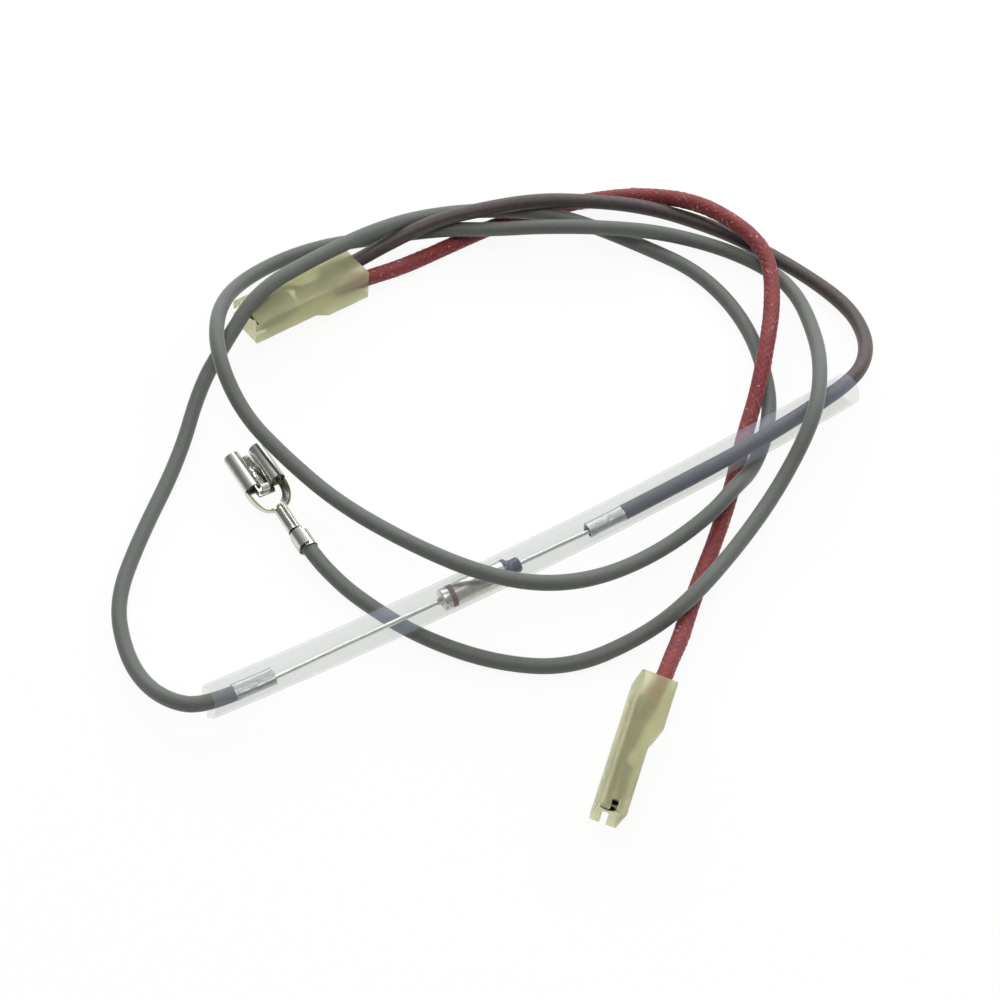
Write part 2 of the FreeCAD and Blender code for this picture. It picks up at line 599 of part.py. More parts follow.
def make_housing(label, spot):
    """Build a nylon housing: local X runs from its rear to its mouth, its straight side at Z = 0."""
    body = new_body(label)
    flat = "-housing_front"
    full = "-housing_rear"
    slope_end = "bulge_length + slope_length"
    block_pad = pad(body, outline(body, "XZ_Plane", (
        ("0", "0"), ("housing_length", "0"), ("housing_length", flat), (slope_end, flat),
        ("bulge_length", full), ("0", full))), "housing_width", both_ways=True)
    doc.recompute()
    long_edges = [
        "Edge%d" % (number + 1) for number, edge in enumerate(block_pad.Shape.Edges)
        if abs(edge.tangentAt(edge.FirstParameter).x) > 0.5]
    rounds = body.newObject("PartDesign::Fillet", "Rounds")
    rounds.Base = (block_pad, long_edges)
    rounds.setExpression("Radius", linked("corner_round"))
    body.Tip = rounds
    past = "housing_length + %s" % SPARE
    shrink = "housing_wall * 0.4"
    pocket(body, outline(body, "XZ_Plane", (
        ("-%s" % SPARE, "-housing_wall"), (past, "-housing_wall"), (past, "housing_wall - housing_front"),
        ("%s - %s" % (slope_end, shrink), "housing_wall - housing_front"),
        ("bulge_length - %s" % shrink, "housing_wall - housing_rear"),
        ("-%s" % SPARE, "housing_wall - housing_rear"))), "housing_width - 2 * side_wall")
    slot_top = "(mouth_slot - housing_front) / 2"
    slot_low = "(-mouth_slot - housing_front) / 2"
    slot_at = "housing_length - mouth_slot_depth"
    pocket(body, outline(body, "XZ_Plane", (
        (slot_at, slot_low), (past, slot_low), (past, slot_top), (slot_at, slot_top))),
        "2 * housing_width")
    pocket(body, outline(body, "XZ_Plane", (
        ("housing_length - mouth_setback", "-housing_wall - fit_gap"), (past, "-housing_wall - fit_gap"),
        (past, "%s" % SPARE), ("housing_length - mouth_setback", "%s" % SPARE))), "2 * housing_width")
    across, along, yaw, pitch, roll = spot
    body.Placement = FreeCAD.Placement(FreeCAD.Vector(across, along, 0),
                                       FreeCAD.Rotation(yaw, pitch, roll))
    doc.recompute()
    body.Placement.Base.z -= body.Shape.BoundBox.ZMin
    return named(body, label)


def in_housing(housing):
    """Return where a receptacle lies in a housing, its base towards the straight wall."""
    length = value("housed_grip + housed_neck + housed_crimp + housed_window + housed_rolls")
    start = value("housing_length - mouth_inset") - length
    local = FreeCAD.Placement(FreeCAD.Vector(start, 0, -value("housing_wall + seat_gap")),
                              FreeCAD.Rotation(FreeCAD.Vector(1, 0, 0), 180))
    return housing.Placement.multiply(local)


def make_cores(label, kind, place, ends, core):
    """Lay one stripped conductor from each insulation end into the receptacle's crimp."""
    crimp_at = value("%s_grip + %s_neck" % (kind, kind))
    tip = crimp_at + value("%s_crimp + core_tip" % kind) - 0.1
    height = value("%s_bore + %s_sheet" % (kind, kind))
    diameter = size_of[core]
    shapes = []
    for end in ends:
        start = place.inverse().multVec(FreeCAD.Vector(*end))
        side = 0.0
        if len(ends) > 1:
            side = math.copysign((diameter + size_of["fit_gap"]) / 2, start.y)
        leave = FreeCAD.Vector(start.x + 0.25, 0.8 * start.y, start.z - 0.2)
        enter = FreeCAD.Vector(crimp_at - 0.3, side, height)
        sagging = (leave + enter) / 2 - FreeCAD.Vector(0, 0, 0.05)
        stop = FreeCAD.Vector(tip, side, height + 0.001)
        shapes.append(cord_shape([leave, sagging, enter, stop], diameter)[0])
    item = doc.addObject("Part::Feature", label)
    item.Shape = shapes[0] if len(shapes) == 1 else Part.makeCompound(shapes)
    item.Placement = place
    return named(item, label)


make_sleeve()
make_cutoff()
make_splice("grey_splice", "grey_splice_station", "grey_splice_core", GREY_ROUTE)
make_splice("brown_splice", "brown_splice_station", "brown_splice_core", BROWN_ROUTE)

pair_housing = make_housing("pair_housing", PAIR_HOUSING_AT)
single_housing = make_housing("single_housing", SINGLE_HOUSING_AT)
pair_place = in_housing(pair_housing)
single_place = in_housing(single_housing)
bare_place = FreeCAD.Placement(FreeCAD.Vector(BARE_RECEPTACLE_AT[0], BARE_RECEPTACLE_AT[1], 0),
                               FreeCAD.Rotation(BARE_RECEPTACLE_AT[2], 0, 0))
make_receptacle("housed", "pair_receptacle", HOUSED_WIDTH, None, pair_place)
make_receptacle("housed", "single_receptacle", HOUSED_WIDTH, "(red_diameter / 2 + fit_gap)",
                single_place)
make_receptacle("bare", "bare_receptacle", "bare_width", "(grey_diameter / 2 + fit_gap)", bare_place)
make_cores("pair_cores", "housed", pair_place, [BROWN_ROUTE[-1], RED_ROUTE[0]], "pair_core")
make_cores("single_core", "housed", single_place, [RED_ROUTE[-1]], "single_core")
make_cores("bare_core", "bare", bare_place, [GREY_ROUTE[-1]], "bare_core")

cord("grey_cord", GREY_ROUTE, "grey_diameter")
cord("brown_cord", BROWN_ROUTE, "brown_diameter")
cord("red_cord", RED_ROUTE, "red_diameter")

doc.recompute()
for item in doc.Objects:
    if "Invalid" in item.State or "Error" in item.State:
        raise RuntimeError("%s failed: %s" % (item.Label, item.State))
broken = [item.Label for item in nodes if item.Shape.isNull() or not item.Shape.isValid()]
if broken:
    raise RuntimeError("no valid shape: " + ", ".join(broken))
for item in nodes:
    item.Shape.exportStep("parts/%s.step" % item.Label)
    box = item.Shape.BoundBox
    print("%-18s solids %d  volume %8.2f  x %.1f..%.1f  y %.1f..%.1f  z %.2f..%.2f" % (
        item.Label, len(item.Shape.Solids), item.Shape.Volume,
        box.XMin, box.XMax, box.YMin, box.YMax, box.ZMin, box.ZMax))
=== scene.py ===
"""Looks of a boiler thermal cut-off lead set.

An axial thermal cut-off and its crimp splices lie in a clear sleeve.  A grey, a brown and a red braided
lead run from it to tab receptacles, two of them in nylon housings.  Lengths are written in millimetres
and turned to metres where a mesh, a material or a lead's curve takes them.
"""
import logging
from dataclasses import dataclass, field
from enum import Enum
from functools import lru_cache
from typing import Optional, Protocol, Sequence

import bmesh
import bpy
import numpy as np
from mathutils import Euler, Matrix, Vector


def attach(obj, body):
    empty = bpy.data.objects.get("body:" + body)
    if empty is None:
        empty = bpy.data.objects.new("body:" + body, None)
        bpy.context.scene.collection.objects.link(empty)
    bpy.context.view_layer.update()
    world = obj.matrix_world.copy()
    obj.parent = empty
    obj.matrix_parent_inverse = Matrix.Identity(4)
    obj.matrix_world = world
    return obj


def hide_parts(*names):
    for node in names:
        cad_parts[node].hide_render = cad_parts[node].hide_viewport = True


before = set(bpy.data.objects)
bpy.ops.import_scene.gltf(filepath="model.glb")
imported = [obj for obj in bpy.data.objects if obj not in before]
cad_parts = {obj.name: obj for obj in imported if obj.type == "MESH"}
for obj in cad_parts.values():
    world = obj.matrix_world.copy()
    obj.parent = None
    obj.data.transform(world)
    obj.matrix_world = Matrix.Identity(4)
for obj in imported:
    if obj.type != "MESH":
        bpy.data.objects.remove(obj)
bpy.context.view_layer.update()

MM = 0.001
TURN = 2.0 * np.pi
LOG = logging.getLogger("lead_set")
Array = np.ndarray
Item = bpy.types.Object
Tree = bpy.types.NodeTree
Node = bpy.types.Node
Spot = tuple[float, float, float]
Points = Sequence[Spot]


class Body(Enum):
    """The bodies that pieces ride on."""

    ROOT = "root"
    SLEEVE = "sleeve"


class FarEnd(Enum):
    """What a lead's far end is."""

    CONNECTOR = "connector"
    OBJECT = "object"


# ---- arrays and meshes

def unit(vectors: Array) -> Array:
    """Return the vectors, each divided by its length."""
    return vectors / np.linalg.norm(vectors, axis=-1, keepdims=True)


def joined(*parts: Array) -> Array:
    """Return arrays, spread to one shape, as one array's last axis: as x, y and z of points, say."""
    return np.stack(np.broadcast_arrays(*parts), -1)


def smoothstep(low: float, high: float, value: Array) -> Array:
    """Return 0 below low, 1 above high, and 3t^2 - 2t^3 between them."""
    part = np.clip((value - low) / (high - low), 0.0, 1.0)
    return part * part * (3.0 - 2.0 * part)


def bell(value: Array, middle: float, width: float) -> Array:
    """Return exp(-((value - middle) / width)^2): 1 in the middle, fading to 0 past the width."""
    return np.exp(-((value - middle) / width) ** 2)


def round_turn(sides: int) -> Array:
    """Return evenly spaced angles of one turn, as one row."""
    return np.arange(sides)[None] / sides * TURN


def distances(path: Array) -> Array:
    """Return how far along a path each of its points lies."""
    return np.concatenate([[0.0], np.cumsum(np.linalg.norm(np.diff(path, axis=0), axis=1))])


def read_off(at: Array, known: Array, points: Array) -> Array:
    """Return points that lie at known distances, interpolated at other distances."""
    return np.stack([np.interp(at, known, points[:, axis]) for axis in range(3)], -1)


def grid_faces(rows: int, columns: int, wrap_rows: bool) -> list[list[int]]:
    """Return the quads of a grid of vertices whose columns run round.

    Args:
        rows: rows of vertices.
        columns: columns of vertices.
        wrap_rows: whether the rows run round too.

    Returns:
        The vertices of each quad, by number, row by row.
    """
    row = np.arange(rows if wrap_rows else rows - 1)[:, None]
    column = np.arange(columns)[None]
    low, high = row * columns, (row + 1) % rows * columns
    beside = (column + 1) % columns
    return joined(low + column, high + column, high + beside, low + beside).reshape(-1, 4).tolist()


def lathe(profile: Sequence[tuple[float, float]], sides: int = 72) -> Array:
    """Return the grid that a profile of (x, radius) points sweeps about the X axis."""
    x, radius = np.array(profile).T[..., None]
    return joined(x, radius * np.cos(round_turn(sides)), radius * np.sin(round_turn(sides)))


def rounding(end: float, radius: float, size: float) -> Array:
    """Return the profile of a rounded edge, from a cylinder's side to its end face.

    It is a quarter circle, (end - s (1 - sin t), radius - |s| (1 - cos t)).

    Args:
        end: where the end face lies along X.
        radius: the cylinder's radius.
        size: the rounding's size, negative at the cylinder's lower end.

    Returns:
        Six points (x, radius).
    """
    turn = np.linspace(0.0, TURN / 4.0, 6)
    return joined(end - size * (1.0 - np.sin(turn)), radius - abs(size) * (1.0 - np.cos(turn)))


def across_path(path: Array) -> tuple[Array, Array]:
    """Return two unit vectors across a path at each of its points.

    Args:
        path: points along it, nowhere upright.

    Returns:
        The level vectors sideways, and the vectors square to them and to the path, upward.
    """
    heading = unit(np.gradient(path, axis=0))
    sideways = unit(np.cross(np.array([0.0, 0.0, 1.0]), heading))
    return sideways, np.cross(heading, sideways)


def sweep(path: Array, radius: float | Array, sides: int) -> Array:
    """Return a tube's grid: path + radius (sideways cos a + upward sin a).

    Args:
        path: points along the middle, in millimetres.
        radius: the radius, of a shape that fits (path points, sides).
        sides: points round the tube.

    Returns:
        Points of shape (path points, sides, 3).
    """
    sideways, upward = across_path(path)
    angle = round_turn(sides)[..., None]
    ring = sideways[:, None] * np.cos(angle) + upward[:, None] * np.sin(angle)
    return path[:, None] + np.broadcast_to(radius, (len(path), sides))[..., None] * ring


@dataclass(frozen=True)
class Place:
    """Where a sub-assembly sits: its base, then turns about Z, Y and X in degrees."""

    base: Spot
    yaw: float = 0.0
    pitch: float = 0.0
    roll: float = 0.0

    def turns(self) -> Array:
        """Return the matrix Rz(yaw) Ry(pitch) Rx(roll)."""
        return np.array(Euler(np.radians([self.roll, self.pitch, self.yaw])).to_matrix())

    def put(self, points: Array | Spot) -> Array:
        """Return the sub-assembly's own points in the row frame."""
        return points @ self.turns().T + self.base

    def own(self, points: Array | Spot) -> Array:
        """Return points of the row frame as the sub-assembly's own."""
        return np.subtract(points, self.base) @ self.turns()

    def moved(self, along: float, aside: float, up: float, roll: float = 0.0) -> "Place":
        """Return the place that lies that far away in this one's own axes, rolled further."""
        base = tuple(self.put((along, aside, up)).tolist())
        return Place(base, self.yaw, self.pitch, self.roll + roll)


class Draft:
    """Collects the surfaces of one piece, then makes them one mesh."""

    def __init__(self) -> None:
        """Start with no surfaces."""
        self.corners: list[Array] = []
        self.faces: list[list[int]] = []
        self.marks: list[int] = []

    def add(self, corners: Array, faces: list[list[int]], marks: Optional[Array] = None) -> "Draft":
        """Add a surface.

        Args:
            corners: its vertices.
            faces: the vertices of each face, by number.
            marks: the material slot of each face, the first one unless given.

        Returns:
            This draft.
        """
        count = sum(len(others) for others in self.corners)
        self.corners.append(corners.reshape(-1, 3))
        self.faces += [[number + count for number in face] for face in faces]
        self.marks += [0] * len(faces) if marks is None else marks.ravel().tolist()
        return self

    def skin(self, grid: Array, row_marks: Optional[Array] = None, wrap_rows: bool = True) -> "Draft":
        """Add a closed surface whose columns run round.

        Args:
            grid: its vertices.
            row_marks: the material slot of each row of faces, the first one unless given.
            wrap_rows: whether the rows run round too; if not, a face closes each end.

        Returns:
            This draft.
        """
        rows, columns = grid.shape[:2]
        faces = grid_faces(rows, columns, wrap_rows)
        if not wrap_rows:
            faces += [list(range(columns)), list(range((rows - 1) * columns, rows * columns))]
        return self.add(grid, faces, None if row_marks is None else np.repeat(row_marks, columns))

    def sheet(self, grid: Array, thickness: float, round_about: bool = False, rim: int = 1) -> "Draft":
        """Add a sheet whose middle surface is the grid.

        The two sides are grid + n t/2 and grid - n t/2, n being the cross product of the slopes along
        the rows and the columns.

        Args:
            grid: the middle surface.
            thickness: the sheet's thickness t.
            round_about: whether the columns run right round.
            rim: the material slot of its cut edges.

        Returns:
            This draft.
        """
        if round_about:
            across = np.roll(grid, -1, axis=1) - np.roll(grid, 1, axis=1)
        else:
            across = np.gradient(grid, axis=1)
        step = unit(np.cross(np.gradient(grid, axis=0), across)) * thickness / 2.0
        rows, columns = grid.shape[:2]
        if round_about:
            marks = np.zeros(2 * rows, int)
            marks[[rows - 1, -1]] = rim
            return self.skin(np.concatenate([grid + step, (grid - step)[::-1]]), marks)
        ring = np.concatenate([grid + step, (grid - step)[:, ::-1]], axis=1)
        faces = grid_faces(rows, 2 * columns, False)
        marks = np.zeros((rows - 1, 2 * columns), int)
        marks[:, [columns - 1, -1]] = rim
        near = np.arange(columns - 1)
        far = 2 * columns - 1 - near
        for start in (0, (rows - 1) * 2 * columns):
            faces += (start + joined(near, near + 1, far - 1, far)).tolist()
        return self.add(ring, faces, np.append(marks, np.full(2 * len(near), rim)))

    def build(self, name: str, finishes: Sequence["Dressing"], place: Optional[Place] = None,
              edge: float = 0.0, crease: float = 60.0) -> Item:
        """Make the piece.

        Args:
            name: the piece's name.
            finishes: the finishes of its material slots, in order.
            place: where it sits, if its surfaces are in a sub-assembly's own axes.
            edge: width of the rounding of its edges, or 0 for none.
            crease: the angle above which an edge counts as one, in degrees.

        Returns:
            The piece, linked to the scene.
        """
        corners = np.concatenate(self.corners)
        if place:
            corners = place.put(corners)
        mesh = bpy.data.meshes.new(name)
        mesh.from_pydata((corners * MM).tolist(), [], self.faces)
        mesh.polygons.foreach_set("material_index", self.marks)
        whole = bmesh.new()
        whole.from_mesh(mesh)
        bmesh.ops.recalc_face_normals(whole, faces=whole.faces)
        whole.to_mesh(mesh)
        whole.free()
        mesh.polygons.foreach_set("use_smooth", [True] * len(mesh.polygons))
        mesh.set_sharp_from_angle(angle=np.radians(crease))
        for finish in finishes:
            mesh.materials.append(material_of(finish))
        item = bpy.data.objects.new(name, mesh)
        bpy.context.scene.collection.objects.link(item)
        if edge:
            rounds = item.modifiers.new("Edges", "BEVEL")
            rounds.width = edge * MM
            rounds.segments = 3
            rounds.limit_method = "ANGLE"
            rounds.angle_limit = np.radians(crease)
            rounds.harden_normals = True
        return item


def settle(item: Item, node: str = "", body: Body = Body.ROOT) -> Item:
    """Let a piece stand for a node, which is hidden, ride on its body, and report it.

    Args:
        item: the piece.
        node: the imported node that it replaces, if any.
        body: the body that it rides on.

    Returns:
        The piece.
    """
    if node:
        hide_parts(node)
    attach(item, body.value)
    LOG.info("%s: %d faces", item.name, len(item.data.polygons))
    return item


# ---- finishes

class Dressing(Protocol):
    """A finish that can add its nodes to a material of its name."""

    name: str

    def surface(self, tree: Tree) -> Node:
        """Add the finish's nodes to a tree and return the last shader."""


def srgb(code: str) -> tuple[float, float, float, float]:
    """Return the linear colour of an sRGB hex code.

    Args:
        code: the code, such as #C8CBA4.

    Returns:
        Red, green, blue and an alpha of 1.
    """
    parts = [int(code[place:place + 2], 16) / 255.0 for place in (1, 3, 5)]
    linear = [part / 12.92 if part <= 0.04045 else ((part + 0.055) / 1.055) ** 2.4 for part in parts]
    return (*linear, 1.0)


def add_node(tree: Tree, kind: str, inputs: Optional[dict] = None,
             stops: Sequence[tuple[float, str]] = (), **settings: object) -> Node:
    """Add a shader node.

    Args:
        tree: the node tree.
        kind: the node's type name without its ShaderNode prefix.
        inputs: socket name or number to a value, to the output socket that feeds it, or to the node
            whose first output does.
        stops: a colour ramp's stops, each a place and a hex code.
        settings: the node's own properties.

    Returns:
        The new node.
    """
    node = tree.nodes.new("ShaderNode" + kind)
    for name, value in settings.items():
        setattr(node, name, value)
    for name, value in (inputs or {}).items():
        source = value.outputs[0] if isinstance(value, Node) else value
        if isinstance(source, bpy.types.NodeSocket):
            tree.links.new(source, node.inputs[name])
        else:
            node.inputs[name].default_value = source
    for _ in stops[2:]:
        node.color_ramp.elements.new(0.5)
    for number, (place, code) in enumerate(stops):
        node.color_ramp.elements[number].position = place
        node.color_ramp.elements[number].color = srgb(code)
    return node


def grain_of(tree: Tree, size: float, detail: float, roughness: float = 0.5) -> Node:
    """Return a noise on Object coordinates whose grains are about that many millimetres across."""
    place = add_node(tree, "TexCoord").outputs["Object"]
    return add_node(tree, "TexNoise", {"Vector": place, "Scale": 1.0 / (size * MM), "Detail": detail,
                                       "Roughness": roughness})


@lru_cache(maxsize=None)
def material_of(finish: Dressing) -> bpy.types.Material:
    """Make a finish's material, once.

    Args:
        finish: the finish.

    Returns:
        Its material, the same each time.
    """
    material = bpy.data.materials.new(finish.name)
    material.use_nodes = True
    material.node_tree.nodes.clear()
    add_node(material.node_tree, "OutputMaterial", {"Surface": finish.surface(material.node_tree)})
    return material


@dataclass(frozen=True)
class Finish:
    """A material: its name, its two colours and the fine grain that its surface carries."""

    name: str
    low: str
    high: str
    roughness: float
    metallic: float = 1.0
    grain: float = 0.2
    bump: float = 0.05
    depth: float = 0.01
    sheen: float = 0.0

    def surface(self, tree: Tree) -> Node:
        """Return a shader whose colour is mottled between low and high, with a fine bump.

        Args:
            tree: the material's emptied node tree.

        Returns:
            The last shader.
        """
        grain = grain_of(tree, self.grain, 4.0, 0.6)
        colour = add_node(tree, "ValToRGB", {"Fac": grain}, [(0.35, self.low), (0.65, self.high)])
        rough = add_node(tree, "Bump", {"Height": grain, "Strength": self.bump,
                                        "Distance": self.depth * MM})
        return add_node(tree, "BsdfPrincipled", {
            "Base Color": colour, "Roughness": self.roughness, "Metallic": self.metallic,
            "Sheen Weight": self.sheen, "Sheen Roughness": 0.35, "Normal": rough})


@dataclass(frozen=True)
class ClearTubing:
    """Clear extruded tubing, slightly milky: a thin even haze, bluish over dark things behind it."""

    name: str = "milky_clear_tubing"
    face_share: float = 0.155
    edge_share: float = 0.19

    def surface(self, tree: Tree) -> Node:
        """Return haze mixed over clear, by how edge-on the wall is seen.

        Args:
            tree: the material's emptied node tree.

        Returns:
            The last shader.
        """
        colour = add_node(tree, "ValToRGB", {"Fac": grain_of(tree, 3.0, 2.0)},
                          [(0.3, "#B2BFDF"), (0.7, "#BCC8E4")])
        haze = add_node(tree, "BsdfPrincipled", {"Base Color": colour, "Roughness": 0.5})
        clear = add_node(tree, "BsdfTransparent", {"Color": srgb("#FDFDFA")})
        facing = add_node(tree, "LayerWeight", {"Blend": 0.5}).outputs["Facing"]
        share = add_node(tree, "MapRange", {"Value": facing, "From Min": 0.6, "From Max": 1.0,
                                            "To Min": self.face_share, "To Max": self.edge_share})
        return add_node(tree, "MixShader", {0: share, 1: clear, 2: haze})


@dataclass(frozen=True)
class Nylon:
    """Natural moulded nylon: pale yellow-green, its walls blur what lies behind them."""

    name: str = "natural_moulded_nylon"

    def surface(self, tree: Tree) -> Node:
        """Return rough transmission under a soft gloss, with lamps reaching through it.

        Args:
            tree: the material's emptied node tree.

        Returns:
            The last shader.
        """
        colour = add_node(tree, "ValToRGB", {"Fac": grain_of(tree, 4.0, 2.0)},
                          [(0.3, "#D6D6B5"), (0.7, "#E5E5CB")])
        fine = add_node(tree, "Bump", {"Height": grain_of(tree, 0.12, 2.0), "Strength": 0.12,
                                       "Distance": 0.01 * MM})
        wall = add_node(tree, "BsdfPrincipled", {
            "Base Color": colour, "Roughness": 0.55, "IOR": 1.3, "Transmission Weight": 0.85,
            "Normal": fine})
        through = add_node(tree, "BsdfTransparent", {"Color": srgb("#ADAE8A")})
        shadow = add_node(tree, "LightPath").outputs["Is Shadow Ray"]
        return add_node(tree, "MixShader", {0: shadow, 1: wall, 2: through})


@dataclass(frozen=True)
class BraidFinish:
    """Glass yarn braided over a lead: dull yarns, painted darker in their grooves as shade, with a few
    painted glints.
    """

    name: str
    dark: str
    mid: str
    light: str
    glint: str
    glint_share: float
    roughness: float
    sheen: float

    def surface(self, tree: Tree) -> Node:
        """Return a shader on the Yarn attribute: X tells groove from crown and is painted as shade, dark
        in the grooves and light on the crowns; Y is where glints may be painted.

        Args:
            tree: the material's emptied node tree.

        Returns:
            The last shader.
        """
        yarn = add_node(tree, "Attribute", attribute_name="Yarn").outputs["Vector"]
        parts = add_node(tree, "SeparateXYZ", {0: yarn})
        uneven = add_node(tree, "Math", {0: grain_of(tree, 0.9, 2.0), 1: 0.5, 2: -0.25},
                          operation="MULTIPLY_ADD")
        depth = add_node(tree, "Math", {0: parts.outputs["X"], 1: uneven})
        # painted shade: the ramp is dark in the yarn grooves and light on the crowns
        base = add_node(tree, "ValToRGB", {"Fac": depth},
                        [(0.0, self.dark), (0.45, self.mid), (1.0, self.light)])
        # painted glints: pale flecks mixed into the colour where the noise and the glint share are high
        bright = add_node(tree, "Math", {0: grain_of(tree, 0.35, 3.0), 1: parts.outputs["Y"]},
                          operation="MULTIPLY")
        share = add_node(tree, "MapRange", {"Value": bright, "From Min": 0.9 - self.glint_share,
                                            "From Max": 1.08 - self.glint_share})
        mixed = add_node(tree, "Mix", {"Factor": share, 6: base, 7: srgb(self.glint)},
                         data_type="RGBA")
        return add_node(tree, "BsdfPrincipled", {
            "Base Color": mixed.outputs[2], "Roughness": self.roughness,
            "Sheen Weight": self.sheen, "Sheen Roughness": 0.5})


# Bright tin plated over brass strip: mirror-like, with a faint rolled grain.
TIN_PLATE = Finish("tin_plated_brass", "#CACCC6", "#D8DAD4", 0.23, bump=0.03)
# The strip's cut edges: bare brass, darkened.
CUT_BRASS = Finish("darkened_cut_brass", "#6A6552", "#8A8468", 0.38)
# The splices' tin, pressed and handled: duller than new plate.
DULL_TIN = Finish("dulled_tin_plate", "#A4A9AB", "#C0C4C4", 0.38, grain=0.5, bump=0.08)
# The housed receptacles' tin: painted darker than bare tin as shade inside the housings, and dull, so it
# shows as a shade through the nylon.
SHADED_TIN = Finish("tin_plate_painted_shade", "#747670", "#8E908A", 0.35, grain=0.4)
# Tinned copper wire: bright and smooth.
TINNED_WIRE = Finish("tinned_copper_wire", "#CFD1CE", "#E2E3E0", 0.28, grain=0.5, bump=0.04)
# Nickelled brass can, drawn: bright, a little warm.
CASE_METAL = Finish("nickelled_can", "#D2D0C8", "#E4E2DA", 0.27, grain=0.6, bump=0.04)
# A plain printed ring round the can: dull brown-red ink.
RING_INK = Finish("brown_red_ink", "#5E3226", "#7A4838", 0.45, 0.0, 0.3, 0.1)
# Bare copper strands, darkened by heat.
COPPER = Finish("bare_copper_strands", "#7A4635", "#B07A5C", 0.40)
# Hard-drawn spring wire.
SPRING_WIRE = Finish("spring_wire", "#9A9A98", "#BEBEBB", 0.30, grain=0.3, bump=0.06)
# Stamped brass discs.
BRASS = Finish("stamped_brass", "#B59552", "#D3B878", 0.30, grain=0.3, bump=0.06)
# Silver-plated contact.
SILVER_PLATE = Finish("silver_plated_bronze", "#C8C4BA", "#E2DFD6", 0.25, grain=0.3, bump=0.06)
# Silicone insulation, extruded and dusted: matte, a little cloudy, paler where it turns away.
GREY_SILICONE = Finish("grey_silicone_rubber", "#565B57", "#636864", 0.6, 0.0, 0.25, 0.25, 0.02, 0.45)
# Potted epoxy: dark navy, glossy.
DARK_EPOXY = Finish("dark_epoxy", "#131C2A", "#1D2838", 0.16, 0.0, 0.8)
# Unglazed alumina: white and matte.
ALUMINA = Finish("alumina", "#DAD6CC", "#EFECE4", 0.7, 0.0, 0.2, 0.2)
# Pressed organic pellet: cream and waxy.
PELLET = Finish("pressed_pellet", "#C9BE9E", "#DDD3B6", 0.6, 0.0, 0.3, 0.2)
# Bare ends of the red braid's filaments: pale pink.
RED_HAIRS = Finish("red_glass_hairs", "#B86A68", "#DDB6B0", 0.5, 0.0, 0.5, 0.0)
# Lacquered dark brown braid: nearly smooth, with a soft gloss; its grooves are painted darker as shade,
# with a few painted glints.
BROWN_LACQUER = BraidFinish("brown_lacquered_braid", "#231C1B", "#3A3130", "#493F3D", "#6A5F5C",
                            0.25, 0.5, 0.15)
# Red glass-fibre braid, dull, its grooves painted darker as shade, with pale glints painted at the
# crossings.
RED_BRAID = BraidFinish("red_glass_braid", "#471719", "#6E2427", "#862F32", "#DDB4AF", 0.43, 0.65, 0.1)
CLEAR_TUBING = ClearTubing()
# The bore's side of the tubing: less hazy, so that the wall isn't counted twice.
CLEAR_BORE = ClearTubing("milky_clear_tubing_bore", 0.05, 0.06)
NYLON = Nylon()


# ---- leads

GREY_ROUTE: Points = (
    (-58.5, -10.3, 5.4), (-63.9, -10.05, 5.75), (-67.7, -6.4, 4.6), (-69.9, 0.2, 2.4),
    (-69.8, 7.9, 1.4), (-66.9, 17.5, 1.4), (-58.5, 26.5, 1.4), (-44.8, 38.3, 1.6), (-35.4, 48.5, 4.4),
    (-28, 52.8, 7.2), (-18.7, 57.6, 11), (-5.8, 60, 9.8), (9.2, 61.8, 7.9), (22.6, 62.1, 3.2),
    (31.2, 56.1, 4.8), (37.1, 51.1, 5.3), (42.3, 46.7, 4.2), (49.8, 38.9, 1.4), (55.9, 27.8, 1.4),
    (56.9, 13.8, 1.4), (52.4, -0.4, 1.4), (46.7, -8.2, 1.4), (39.9, -13.7, 1.5), (33.5, -17.3, 5.5),
    (27.1, -19.8, 5.3), (16.3, -21.3, 4.2), (3.9, -22.6, 7.6), (-6.7, -20.8, 11.2), (-14.5, -13.9, 11.6),
    (-20.2, -1, 7.4), (-25.9, 14.5, 4), (-29.8, 26.9, 5.3), (-32.5, 37.7, 7.7), (-31.6, 48.5, 12.4),
    (-25.5, 60.1, 8.7), (-16, 67.7, 2.8), (-3.2, 68.9, 1.4), (10.5, 64.1, 1.4), (19.4, 57.9, 4.6),
    (26.9, 52.8, 5.2), (34.4, 48, 6.5), (43.3, 41.6, 7.6), (54.8, 37.1, 3.6), (64.7, 27.6, 1.4),
    (68.2, 16.1, 2.6), (62.5, 0.6, 7.4), (55.9, -9.4, 11.4), (49.9, -15.8, 11.4), (40.9, -20.8, 6),
    (28.9, -26.8, 5), (14.9, -32.8, 6.1), (5.4, -33.1, 2.4), (-7.7, -31.8, 1.4), (-18.1, -24.6, 1.4),
    (-26.6, -13.6, 1.4), (-31.6, -2, 1.4), (-33.2, 4.1, 1.6), (-33.95, 8.5, 1.95), (-34.15, 12.3, 2.1),
)
BROWN_ROUTE: Points = (
    (14.4, -12.1, 5.4), (25.5, -12, 5.6), (38, -11.9, 6.2), (51.5, -10.8, 6.4), (62, -9.5, 6.7),
    (67.7, -6.7, 5.6), (72.3, -1, 3.6), (74.5, 7.5, 1.8), (71.9, 18.4, 1.4), (66.3, 31.3, 1.4),
    (60.9, 39.3, 1.7), (53.6, 45.2, 3.8), (44.5, 49.2, 6.5), (35, 53.4, 7.9), (25.7, 56.6, 7.5),
    (17.8, 58.8, 7), (9.4, 59.8, 5.2), (2.8, 59.8, 4.2), (-5, 58.7, 4.55),
)
